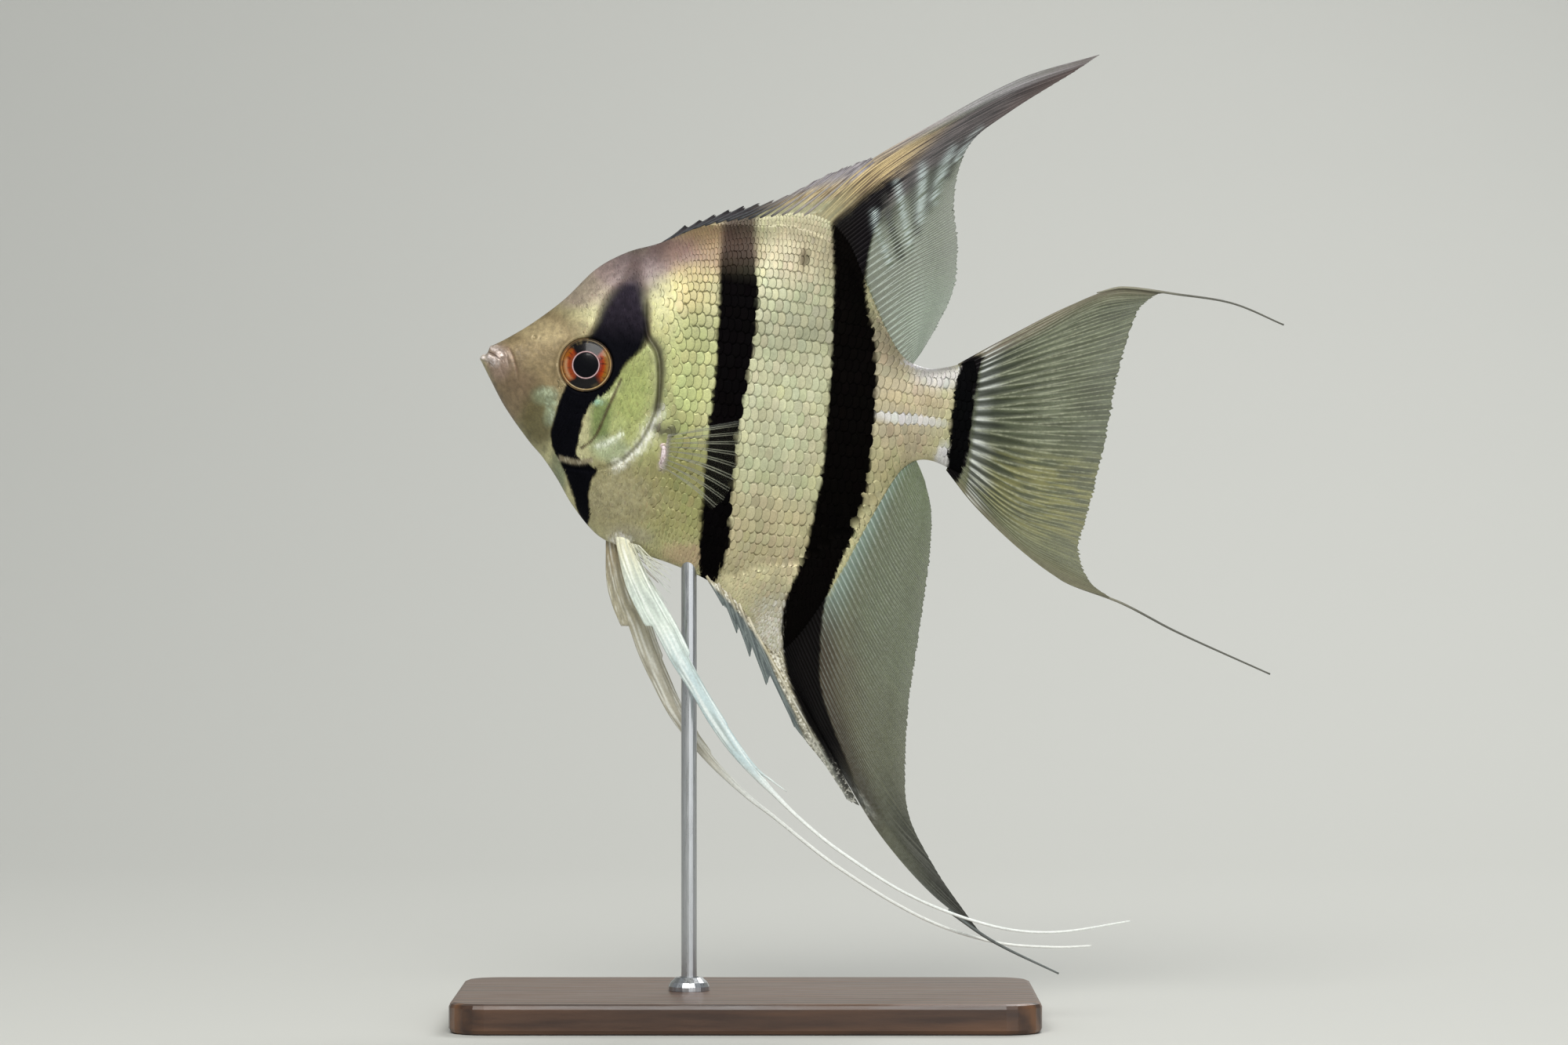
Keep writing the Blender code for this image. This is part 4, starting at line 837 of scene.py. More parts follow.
def buildEye(side, sideName):
    points, r, a, da, du = eyeShape(side)
    faces = tubeFaces(eye["rings"] + 2, eye["spokes"], flip=side < 0)
    uv = np.stack([0.5 + 0.1 * da, 0.5 + 0.1 * du], axis=1)
    obj = makeMesh("eyeball_" + sideName, points, faces, {}, eyeColour(r, a), uv, uvName="flat")
    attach(obj, "root")
    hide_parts("eye_" + sideName)
    obj.data.materials.append(eyeMaterial)


def makeEyeMaterial():
    made, tree, shader = newMaterial("wetEye")
    place = attribute(tree, "place", "Vector")
    fine = noiseNode(tree, place, 6.0, 4.0, 0.7)
    colour = brightened(tree, attribute(tree, "tint", "Color"), easeNode(tree, fine, 0.25, 0.75, 0.8, 1.15))
    feed(shader, {"Base Color": colour, "Roughness": easeNode(tree, fine, 0.2, 0.8, 0.16, 0.28),
                  "Coat Weight": 0.22, "Coat Roughness": 0.05, "Specular IOR Level": 0.12})
    return made


eyeMaterial = makeEyeMaterial()
for side, sideName in sides:
    buildEye(side, sideName)
print("eyes done")


# fins: a film over fine rays that fork twice towards the edge
forks = (0.3, 0.54)


# distance, in ray spacings, from the nearest branch of a forking ray; v runs from root to edge
def rayGap(phase, v):
    gap = np.abs(phase % 1.0 - 0.5)
    gap = np.abs(gap - 0.25 * ease(forks[0] - 0.2, forks[0] + 0.2, v))
    return np.abs(gap - 0.125 * ease(forks[1] - 0.15, forks[1] + 0.25, v))


# a grid of places between the key rays of a fin
def fanGrid(fin):
    rows = [smoothLine(ray, fin["steps"]) for ray in fin["keyRays"]]
    return np.stack([smoothLine([row[k] for row in rows], fin["rays"] * fin["perRay"], even=False)
                     for k in range(fin["steps"] + 1)], axis=1)


# a closed thin sheet from a grid of (along, up) places; look gives its colour and the values of its film
def sheet(name, grid, rays, thickness, ripple, look, finish, fringe=0.35):
    columns, steps = grid.shape[:2]
    phase = np.repeat(np.linspace(0, rays, columns)[:, None], steps, axis=1)
    v = np.repeat(np.linspace(0, 1, steps)[None, :], columns, axis=0)
    ridge = np.exp(-(rayGap(phase, v) / (0.13 - 0.07 * v)) ** 2)
    run = grid[:, -1] - grid[:, -2]
    run /= np.maximum(np.linalg.norm(run, axis=1), 1e-6)[:, None]
    grid = grid.copy()
    grid[:, -1] += run * (fringe * (ridge[:, -1] - 0.6) + 0.12 * random.normal(0, 1, columns))[:, None]
    film, ray = thickness
    half = (film + (ray - film) * ridge) / 2 * (1 - 0.45 * v)
    along, up, across = grid[..., 0], grid[..., 1], phase / rays
    middle = ripple(across, v)
    points = np.concatenate([np.stack([along, out, up], axis=2).reshape(-1, 3)
                             for out in (middle - half, middle + half)])
    n = columns * steps
    faces = list(gridFaces(columns, steps)) + list(gridFaces(columns, steps, offset=n, flip=True))
    rim = ([i * steps for i in range(columns)] + [(columns - 1) * steps + k for k in range(1, steps)]
           + [i * steps + steps - 1 for i in range(columns - 2, -1, -1)] + list(range(steps - 2, 0, -1)))
    faces += [(b, a, a + n, b + n) for a, b in zip(rim, rim[1:] + rim[:1])]
    colour, values = look(along.ravel(), up.ravel(), across.ravel(), v.ravel())
    values = {"dark": 0.0, "grit": 0.0, **values, "across": phase.ravel(), "down": v.ravel()}
    values = {key: np.tile(value + np.zeros(n), 2) for key, value in values.items()}
    uv = np.stack([np.tile(across.ravel(), 2) * 0.48, np.tile(v.ravel(), 2)], axis=1)
    uv[n:, 0] += 0.5
    obj = makeMesh(name, points, faces, values, np.tile(colour, (2, 1)), uv, uvName="fan")
    obj.data.materials.append(finish)
    return obj


def fan(name, fin, ripple, look, finish):
    return sheet(name, fanGrid(fin), fin["rays"], fin["thickness"], ripple, look, finish)


# rayWidth and cover: at the root and at the edge; split: how far the first and second branches part
def makeFinMaterial(name, rayColour, rayWidth=(0.17, 0.055), rayGlow=0.85, dash=0.3, split=(0.25, 0.125),
                    cover=(0.7, 0.7)):
    made, tree, shader = newMaterial(name)
    across, down = attribute(tree, "across"), attribute(tree, "down")
    place, film = attribute(tree, "place", "Vector"), attribute(tree, "film")
    gap = mathNode(tree, "ABSOLUTE", mathNode(tree, "SUBTRACT", mathNode(tree, "FRACT", across), 0.5))
    for apart, low, high in ((split[0], forks[0] - 0.2, forks[0] + 0.2),
                             (split[1], forks[1] - 0.15, forks[1] + 0.25)):
        branch = easeNode(tree, down, low, high, 0.0, apart)
        gap = mathNode(tree, "ABSOLUTE", mathNode(tree, "SUBTRACT", gap, branch))
    width = easeNode(tree, down, 0.0, 1.0, *rayWidth)
    line = mathNode(tree, "SUBTRACT", 1.0, mathNode(tree, "DIVIDE", gap, width), clamp=True)
    segments = node(tree, "ShaderNodeTexNoise", {"Vector": place, "Scale": 1.5, "Detail": 3.0}).outputs["Fac"]
    line = mathNode(tree, "MULTIPLY", line, easeNode(tree, segments, 0.4, 0.6, 1.0 - dash, 1.0))
    glow = mathNode(tree, "MULTIPLY", mathNode(tree, "MULTIPLY", line, attribute(tree, "glow")), rayGlow)
    streak = noiseNode(tree, node(tree, "ShaderNodeCombineXYZ", {0: across, 1: down}).outputs[0], 3.0, 4.0)
    fine = noiseNode(tree, place, 2.6, 4.0, 0.7)
    grey = mathNode(tree, "MULTIPLY", easeNode(tree, streak, 0.3, 0.7, 0.84, 1.14),
                    easeNode(tree, fine, 0.3, 0.7, 0.9, 1.1))
    tint = brightened(tree, attribute(tree, "tint", "Color"), grey)

    # silvery grains with dark pits between them, where the value grit asks for them
    grit, grains = attribute(tree, "grit"), noiseNode(tree, place, 1.9, 2.0, 0.6)
    pits = mathNode(tree, "MULTIPLY", grit, easeNode(tree, grains, 0.5, 0.36, 0.0, 0.55))
    shaded = brightened(tree, tint, mathNode(tree, "SUBTRACT", 1.0, pits))
    bright = mathNode(tree, "MULTIPLY", grit, easeNode(tree, grains, 0.52, 0.62, 0.0, 0.75))
    tint = mixColour(tree, bright, shaded, (0.82, 0.8, 0.7, 1.0))
    colour = mixColour(tree, glow, tint, (*rayColour, 1.0))

    # rays cover what the clear film leaves open
    clearShare = mathNode(tree, "SUBTRACT", 1.0, film)
    rayAlpha = mathNode(tree, "MULTIPLY", mathNode(tree, "MULTIPLY", line, clearShare),
                        easeNode(tree, down, 0.6, 1.0, *cover))
    metal = mathNode(tree, "ADD", mathNode(tree, "MULTIPLY", line, 0.12), attribute(tree, "dark"), clamp=True)
    feed(shader, {"Base Color": colour, "Alpha": mathNode(tree, "ADD", film, rayAlpha, clamp=True),
                  "Roughness": easeNode(tree, line, 0.0, 1.0, 0.34, 0.46), "Metallic": metal,
                  "Normal": bumpNode(tree, line, 0.6, 0.00012), "Specular IOR Level": 0.22,
                  "Coat Weight": 0.06, "Coat Roughness": 0.25})
    return made


def placed(line, out=0.0):
    return np.stack([line[:, 0], out + np.zeros(len(line)), line[:, 1]], axis=1)


# a closed tube along 3-D places, as points and faces; flat squeezes it across the fish
def tube(points, radii, columns=10, flat=1.0):
    points, radii = np.asarray(points, float), np.asarray(radii, float)
    run = np.gradient(points, axis=0)
    run /= np.linalg.norm(run, axis=1)[:, None]
    upward = np.cross(run, np.tile([0.0, 1.0, 0.0], (len(points), 1)))
    upward /= np.maximum(np.linalg.norm(upward, axis=1), 1e-6)[:, None]
    outward = np.cross(upward, run)
    turn = 2 * math.pi * np.arange(columns) / columns
    ring = (points[:, None, :] + radii[:, None, None] * (np.cos(turn)[None, :, None] * upward[:, None, :]
            + flat * np.sin(turn)[None, :, None] * outward[:, None, :]))
    return ring.reshape(-1, 3), tubeFaces(len(points), columns)


# several (points, faces) as one
def joined(parts):
    points, faces, offset = [], [], 0
    for p, f in parts:
        points.append(p)
        faces += [[v + offset for v in face] for face in f]
        offset += len(p)
    return np.concatenate(points), faces


def finPiece(obj, nodeName):
    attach(obj, "root")
    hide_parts(nodeName)


# threads and spines as one piece; colour is one colour or a function of (along, up)
def threadPiece(name, parts, colour, finish, nodeName, glow):
    points, faces = joined(parts)
    tint = colour(points[:, 0], points[:, 2]) if callable(colour) else colour
    values = {"across": 0.5, "down": 0.0, "glow": glow, "film": 1.0, "dark": 0.0, "grit": 0.0}
    uv = np.stack([points[:, 0] / 160 + 0.1, points[:, 2] / 200 + 0.5], axis=1)
    obj = makeMesh(name, points, faces, values, tint, uv, uvName="flat")
    obj.data.materials.append(finish)
    finPiece(obj, nodeName)


# the film between leaning spines, saw-toothed: full height at each spine, lower at the next
def spineSheet(outline, roots, tips, behind, share, curve, perGap=9, steps=14):
    tips = np.asarray(tips, float)
    along = np.linspace(roots[0], roots[1], len(tips))
    rootPlaces = np.stack([along, smoothTable(outline, along)], axis=1)
    lean = tips - rootPlaces
    rootPlaces = rootPlaces - lean / np.linalg.norm(lean, axis=1)[:, None] * 1.4
    rootPlaces = np.concatenate([rootPlaces, [behind[0]]])
    tops = np.concatenate([tips, [behind[1]]])
    lines, spines = [], []
    for i in range(len(tops) - 1):
        spines.append((rootPlaces[i], tops[i]))
        low = rootPlaces[i + 1] + (tops[i + 1] - rootPlaces[i + 1]) * (share[i] if i < len(tops) - 2 else 1.0)
        for k in range(perGap):
            f = k / perGap
            root = rootPlaces[i] * (1 - f) + rootPlaces[i + 1] * f
            drop = f**curve
            top = tops[i] * (1 - drop) + low * drop
            lines.append(np.linspace(root, top, steps + 1))
    return np.stack(lines), spines


# 1 on the rays, 0 between them
def onRays(across, rays, v):
    return np.exp(-(rayGap(across * rays, v) / 0.16) ** 2)


# uneven fine streaks that run with the rays, from 0 to 1
def hairs(across, v, fine=120.0, seed=7.0):
    return ease(-0.28, 0.3, grain(across * fine, v * 4.0, 0, 1.0, seed))


# scaled skin that runs up on to the root of a fin
def rootTint(along, up, colour, weight):
    skinTint, black = tintAt(along, up, 0)
    granule = grain(along, up, 0, 0.55, 12.0)
    return mixed(colour, skinTint * (1 + 0.22 * granule * (1 - black))[:, None], weight)


# dorsal fin
dorsal = {
    "rays": 42, "perRay": 6, "steps": 84, "thickness": (0.22, 0.44), "sway": 0.5,
    "keyRays": [[(51.2, 29.4), (55.8, 35.6), (60.2, 40.2), (67.0, 45.4), (82.9, 56.5), (95.7, 62.2)],
                [(53.4, 27.6), (63.5, 39.2), (79.6, 51.8), (91.8, 58.8)],
                [(55.0, 27.0), (65.5, 37.4), (82.4, 51.2)],
                [(56.8, 24.6), (66.2, 34.2), (76.2, 44.8)],
                [(58.8, 21.6), (66.6, 28.8), (74.6, 36.4)],
                [(61.6, 16.4), (69.0, 23.0), (76.2, 27.6)],
                [(64.6, 12.0), (70.4, 17.2), (76.4, 20.4)],
                [(67.6, 8.4), (71.2, 12.0), (74.3, 14.0)],
                [(70.4, 6.0), (71.4, 7.8), (72.4, 9.6)]],
    "spineRoots": (28.4, 51.2), "spines": 14,
    "spineTips": [(31.0, 25.7), (38.5, 29.4), (46.3, 32.2), (53.4, 37.0), (60.2, 40.6)],
    "behind": [(53.4, 30.6), (60.9, 39.9)],
    # pale and dark upright bands on the sail: line, half width, strength
    "paleBands": [([(61.9, 31.5), (62.9, 28.5), (65.4, 23.5)], 0.7, 0.6),
                  ([(65.0, 37.0), (66.6, 32.0), (68.4, 26.6)], 0.7, 0.8),
                  ([(68.7, 40.6), (69.2, 36.5), (69.5, 31.4)], 0.75, 0.9),
                  ([(73.4, 44.0), (72.2, 40.0), (71.4, 34.8)], 0.75, 0.85),
                  ([(77.6, 47.8), (76.0, 45.4), (74.3, 42.0)], 0.6, 0.75)],
    "darkBands": [([(63.2, 34.6), (64.6, 30.4), (67.0, 25.0)], 0.8, 0.95),
                  ([(66.9, 39.2), (67.9, 34.6), (69.2, 29.4)], 0.8, 0.95),
                  ([(70.9, 42.6), (70.7, 38.4), (70.4, 33.4)], 0.9, 0.9),
                  ([(75.4, 46.0), (74.2, 43.2), (73.0, 39.2)], 0.8, 0.9)],
}


def dorsalLook(along, up, across, v):
    cloud = grain(along, up, 0, 6.0, 21.0)
    fineCloud = grain(along, up, 0, 1.6, 4.0)
    ray = onRays(across, dorsal["rays"], v)
    hair = hairs(across, v)
    gold = fade(0.34, 0.66, v + 0.6 * across) * fade(0.14, 0.3, across + 0.05 * fineCloud)
    dark = barAmount("rear", along + 0.8 * (hair - 0.5) * ease(29, 32, up), up) * fade(36.5, 39.5, up)
    dark = dark * (1 - 0.3 * gold)
    lean = ease(0.03, 0.1, across) * fade(0.3, 0.47, across - 0.08 * cloud) * ease(0.1, 0.3, v)
    sail = ease(0.3, 0.55, across)
    pale, between = (sum(strength * nearLine(band, along, up, width) for band, width, strength in dorsal[key])
                     for key in ("paleBands", "darkBands"))
    tip = ease(0.72, 1.0, v) * fade(0.15, 0.5, across)
    frontEdge = fade(0.01, 0.07, across - 0.04 * ease(0.4, 0.8, v))
    paleWeight = pale * (0.12 + 1.05 * hair * (0.8 + 0.4 * ray)) * ease(0.16, 0.32, across)
    darkWeight = between * (1.1 - 0.5 * hair) * ease(0.16, 0.36, across)
    colour = layers(srgb(76, 86, 58),
                    (mixed(srgb(44, 38, 42), srgb(122, 112, 112), 0.55 * hair), lean * 0.95),
                    (mixed(srgb(96, 78, 58), srgb(208, 184, 132), hair), gold * 0.9),
                    (srgb(15, 13, 15), dark * 1.15),
                    (srgb(46, 46, 44), np.minimum(darkWeight, 0.85)),
                    (srgb(176, 188, 186), np.minimum(paleWeight, 0.85)),
                    (srgb(176, 170, 176), frontEdge * (0.45 + 0.4 * hair) * ease(0.1, 0.5, v)),
                    (srgb(84, 60, 52), tip * 0.45),
                    (srgb(148, 176, 150), 0.35 * ease(0.6, 0.8, across) * ray))
    rootPart = fade(0.02, 0.22 - 0.08 * sail, v + 0.03 * fineCloud) * (1 - 0.3 * gold)
    colour = rootTint(along, up, colour, rootPart)
    film = 0.5 + 0.5 * np.clip(lean + dark, 0, 1) + 0.4 * np.clip(pale + between, 0, 1)
    film = np.maximum(film, 1 - 0.7 * ease(0.02, 0.2, v))
    film = np.maximum(np.maximum(film, 0.95 * frontEdge), 0.95 * gold)
    film = np.clip(film - 0.12 * ease(0.75, 1.0, v) * sail, 0.2, 1.0)
    glow = (0.35 + 0.65 * sail) * (1 - np.clip(1.2 * dark + 0.75 * lean + 0.9 * gold, 0, 1))
    glow = glow * ease(0.03, 0.16, v)
    colour = colour * (1 + 0.1 * cloud + 0.06 * fineCloud)[:, None]
    return colour, {"film": film, "glow": glow, "dark": np.clip(dark, 0, 1)}


def dorsalRipple(across, v):
    return dorsal["sway"] * v * np.sin(across * 9 + v * 1.2) * ease(0.0, 0.4, v)


clearFin = makeFinMaterial("clearFin", srgb(196, 202, 190), rayGlow=0.75, dash=0.5)
tailFin = makeFinMaterial("tailFin", srgb(184, 186, 162), rayWidth=(0.15, 0.05), rayGlow=0.62, dash=0.5)
smokyFin = makeFinMaterial("smokyFin", srgb(188, 196, 186), dash=0.25)
spineFin = makeFinMaterial("spineFin", srgb(160, 168, 172), rayGlow=0.3)


finPiece(fan("dorsal_sail", dorsal, dorsalRipple, dorsalLook, smokyFin), "dorsal_fin")


# hard spines and the notched film between them; share: how low the film's edge falls behind each spine
def spineFront(name, nodeName, outline, fin, tips, share, curve, look, spineColour, radius):
    grid, spines = spineSheet(outline, fin["spineRoots"], tips, fin["behind"], share, curve)
    finPiece(sheet(name + "_web", grid, 24, (0.3, 0.36), lambda across, v: 0 * v, look, spineFin, fringe=0.0),
             nodeName)
    parts = []
    for root, tip in spines:
        line = smoothLine([root, root + (tip - root) * 0.5 + [0.15, -0.1], tip], 9)
        parts.append(tube(placed(line), radius * (1 - 0.72 * np.linspace(0, 1, len(line)) ** 1.5)))
    threadPiece(name, parts, spineColour, spineFin, nodeName, 0.3)


def dorsalWebLook(along, up, across, v):
    cloud = grain(along, up, 0, 2.5, 4.0)
    hair = hairs(across, v, 160.0)
    back = ease(40.0, 50.0, along)
    base = layers(srgb(46, 42, 46), (srgb(96, 88, 92), 0.5 * hair * (1 - back)),
                  (mixed(srgb(112, 94, 72), srgb(206, 186, 142), hair), back * 0.9),
                  (mixed(srgb(112, 106, 110), srgb(178, 172, 176), hair), back * ease(0.45, 0.8, v)),
                  (srgb(22, 20, 22), 0.6 * (1 - back) * ease(0.6, 1.0, v)))
    colour = rootTint(along, up, base, fade(0.1, 0.4, v + 0.06 * cloud))
    return colour * (1 + 0.12 * cloud)[:, None], {"film": 0.96, "glow": 0.15}


def dorsalSpineTint(along, up):
    return layers(srgb(30, 28, 32), (srgb(146, 138, 130), 0.85 * ease(42.0, 50.0, along)))


tips = smoothLine(dorsal["spineTips"], dorsal["spines"] - 1)
share = np.interp(np.arange(dorsal["spines"]), [0, 6, 9, 13], [0.62, 0.7, 0.93, 0.98])
spineFront("dorsal_spines", "dorsal_fin", body["top"], dorsal, tips, share, 0.9, dorsalWebLook,
           dorsalSpineTint, 0.26)
print("dorsal fin done")

# anal fin
anal = {
    "rays": 52, "perRay": 6, "steps": 84, "thickness": (0.22, 0.44), "sway": 0.45,
    "keyRays": [[(53.2, -41.4), (59.5, -49.7), (68.6, -62.3), (75.4, -70.7), (84.6, -79.0), (94.0, -84.8)],
                [(55.2, -40.8), (65.0, -56.4), (78.5, -71.6), (91.8, -82.6)],
                [(56.6, -38.8), (66.4, -54.2), (75.8, -67.0), (85.3, -75.3)],
                [(58.6, -35.8), (67.4, -50.2), (79.6, -66.6)],
                [(60.4, -32.2), (69.4, -46.0), (77.9, -57.2)],
                [(62.4, -27.6), (70.6, -39.6), (77.4, -47.8)],
                [(64.6, -22.4), (71.2, -32.4), (77.6, -39.8)],
                [(67.0, -16.6), (72.4, -25.0), (77.8, -31.0)],
                [(69.4, -11.2), (73.8, -18.4), (77.8, -22.6)],
                [(71.6, -7.8), (74.4, -12.8), (77.2, -16.4)],
                [(73.0, -7.2), (74.4, -9.4), (75.6, -11.6)]],
    "spineRoots": (42.4, 51.8), "behind": [(54.4, -42.2), (72.2, -66.6)],
    "filmShare": [0.5, 0.5, 0.5, 0.5, 0.88],
    "spineTips": [(44.9, -36.1), (47.7, -40.3), (50.3, -43.9), (53.6, -48.2), (59.1, -54.6), (69.2, -65.4)],
    "thread": [(88.0, -81.6), (96.0, -85.8), (107.5, -89.8)],
    # where the granular skin ends and the blue flaps begin
    "flapLine": [(43.0, -33.2), (45.1, -34.7), (48.7, -37.9), (52.6, -42.4), (55.8, -47.8), (58.5, -51.7),
                 (61.6, -57.2), (65.4, -62.0), (70.2, -66.8), (78.0, -74.4)],
}


# silver and gold grains on the skin that runs down the front of the fin, and the bar beside it
def frontSkin(along, up):
    granule = grain(along, up, 0, 0.5, 15.0)
    coarse = grain(along, up, 0, 1.8, 6.0)
    down = ease(-46.0, -62.0, up)
    dark = barAmount("rear", along + 0.3 * granule, up + 0.2 * granule)
    colour = layers(srgb(170, 160, 128), (srgb(204, 200, 186), 0.6 * ease(-0.2, 0.5, coarse)),
                    (srgb(104, 112, 110), 0.8 * down),
                    (srgb(236, 234, 222), 0.5 * ease(0.0, 0.34, granule) * (1 - 0.5 * down)),
                    (srgb(92, 84, 62), 0.7 * ease(0.1, 0.5, -granule)),
                    (srgb(15, 13, 13), dark * (1 - 0.45 * ease(-58, -68, up))))
    return colour, dark * fade(-54, -64, up)


# how gritty that skin is, less on the bar and towards the tip
def gritAmount(part, dark, up):
    return part * (1 - np.clip(dark * 1.5, 0, 1)) * (1 - 0.5 * ease(-50, -62, up))


def analLook(along, up, across, v):
    cloud = grain(along, up, 0, 6.0, 31.0)
    fineGrain = grain(along, up, 0, 0.9, 5.0)
    ray = onRays(across, anal["rays"], v)
    hair = hairs(across, v, 150.0)
    dark = barAmount("rear", along + 0.25 * fineGrain, up)
    barFront, barBack = (barEdge("rear", column, np.maximum(up, bars["rear"][0][0])) for column in (1, 2))
    tip = ease(0.62, 0.95, v) * fade(0.12, 0.4, across)
    front = fade(0.04, 0.1, across - 0.05 * (1 - v))
    front = np.maximum(front, fade(-0.3, 0.4, along - barFront)) * fade(-64.0, -70.0, up)
    rootGleam = ease(0.25, 0.5, across) * fade(0.05, 0.3, v)
    brown = fade(0.3, 0.62, across + 0.06 * cloud) * (1 - ease(0.25, 0.75, v) * 0.5)
    smoky = ease(-0.4, 0.3, along - barBack) * fade(0.5, 4.5, along - barBack) * ease(-28.0, -44.0, up)
    colour = layers(srgb(80, 88, 56),
                    (srgb(84, 74, 58), 0.75 * brown),
                    (srgb(148, 172, 168), 0.8 * rootGleam * (0.5 + 0.5 * ray)),
                    (srgb(104, 128, 72), 0.35 * ease(0.7, 1.0, across)),
                    (srgb(66, 66, 62), tip * 0.85),
                    (srgb(16, 13, 13), dark * (1 - 0.4 * ease(-56, -66, up))),
                    (srgb(30, 32, 32), tip * 0.7 * bell(across * 60 % 1, 0.5, 0.2)),
                    (srgb(150, 156, 150), tip * 0.6 * fade(0.0, 0.05, across)),
                    (srgb(52, 42, 34), 0.75 * smoky),
                    (srgb(36, 36, 34), 0.7 * tip * (1 - hair)),
                    (srgb(122, 122, 116), 0.4 * tip * hair))
    colour = mixed(colour, frontSkin(along, up)[0], front)
    colour = rootTint(along, up, colour, fade(0.01, 0.09, v + 0.02 * fineGrain))
    film = 0.68 + 0.4 * dark + 0.2 * smoky + 0.2 * rootGleam + 0.3 * tip + 0.12 * brown
    film = np.maximum(np.maximum(film, front), 1 - 0.6 * ease(0.02, 0.12, v))
    film = np.clip(film - 0.1 * ease(0.8, 1.0, v), 0.2, 1.0)
    glow = (1 - 0.92 * dark) * (0.6 + 0.3 * rootGleam - 0.2 * brown) * (1 - 0.5 * tip) * (1 - 0.9 * front)
    return colour * (1 + 0.08 * cloud)[:, None], {
        "film": film, "glow": glow * ease(0.02, 0.1, v), "dark": dark * fade(-54, -64, up),
        "grit": gritAmount(front, dark, up)}


def analRipple(across, v):
    return anal["sway"] * v * np.sin(across * 8 + 0.8 + v * 1.6)


# how far a place lies over the line between front skin and flaps, plus on the skin
def overFlapLine(along, up):
    gap, side, _ = lineDistance(anal["flapLine"], along, up)
    return gap * side


def analWebLook(along, up, across, v):
    cloud = grain(along, up, 0, 1.4, 4.0)
    over = overFlapLine(along, up)
    skinPart = ease(-0.25, 0.15, over + 0.2 * cloud)
    strip, dark = frontSkin(along, up)
    flap = layers(srgb(84, 92, 92), (srgb(136, 146, 142), 0.75 * hairs(across, v, 110.0)),
                  # painted shade along the slits where the flaps meet the skin strip
                  (srgb(70, 74, 66), 0.6 * ease(-0.5, -0.05, over)),
                  (srgb(108, 104, 90), 0.5 * ease(-58, -68, up)))
    return mixed(flap, strip, skinPart), {
        "film": 0.9 + 0.1 * skinPart, "glow": 0.35 * (1 - skinPart), "dark": dark * skinPart,
        "grit": gritAmount(skinPart, dark, up)}


def analSpineTint(along, up):
    return mixed(srgb(100, 108, 106), frontSkin(along, up)[0], ease(-0.4, 0.3, overFlapLine(along, up)))


finPiece(fan("anal_sail", anal, analRipple, analLook, clearFin), "anal_fin")
spineFront("anal_spines", "anal_fin", body["belly"], anal, anal["spineTips"], anal["filmShare"], 2.6,
           analWebLook, analSpineTint, 0.3)
line = smoothLine(anal["thread"], 30)
threadPiece("anal_thread", [tube(placed(line), np.linspace(0.32, 0.16, len(line)))], srgb(92, 96, 92), spineFin,
            "anal_fin", 0.3)
print("anal fin done")

# tail fin
tail = {
    "rays": 21, "perRay": 10, "steps": 72, "thickness": (0.2, 0.44), "sway": 0.5,
    "keyRays": [[(78.6, 8.4), (85.3, 13.2), (95.7, 20.2), (104.2, 24.4), (112.0, 24.4)],
                [(79.0, 7.2), (91.2, 15.2), (101.2, 22.0), (109.6, 23.6)],
                [(79.0, 5.8), (92.6, 13.4), (107.0, 20.3)],
                [(79.0, 3.6), (91.4, 8.0), (105.5, 12.9)],
                [(79.0, 1.0), (92.0, 3.4), (104.8, 6.6)],
                [(79.0, -2.0), (91.6, -2.0), (104.4, -1.0)],
                [(79.0, -4.8), (91.4, -8.0), (103.6, -8.4)],
                [(79.0, -6.6), (91.2, -13.0), (102.9, -14.4)],
                [(79.0, -7.8), (90.8, -16.4), (102.2, -19.6)],
                [(79.0, -8.6), (93.0, -20.0), (104.6, -24.6)],
                [(78.8, -9.3), (84.3, -14.7), (93.2, -21.3), (100.9, -25.4), (108.3, -26.9)]],
    "threads": [[(100.0, 22.9), (104.2, 24.3), (113.1, 24.3), (122.6, 23.9), (131.4, 21.4)],
                [(97.0, -23.4), (101.0, -25.3), (110.3, -27.6), (119.9, -31.2), (136.2, -36.3)]],
}


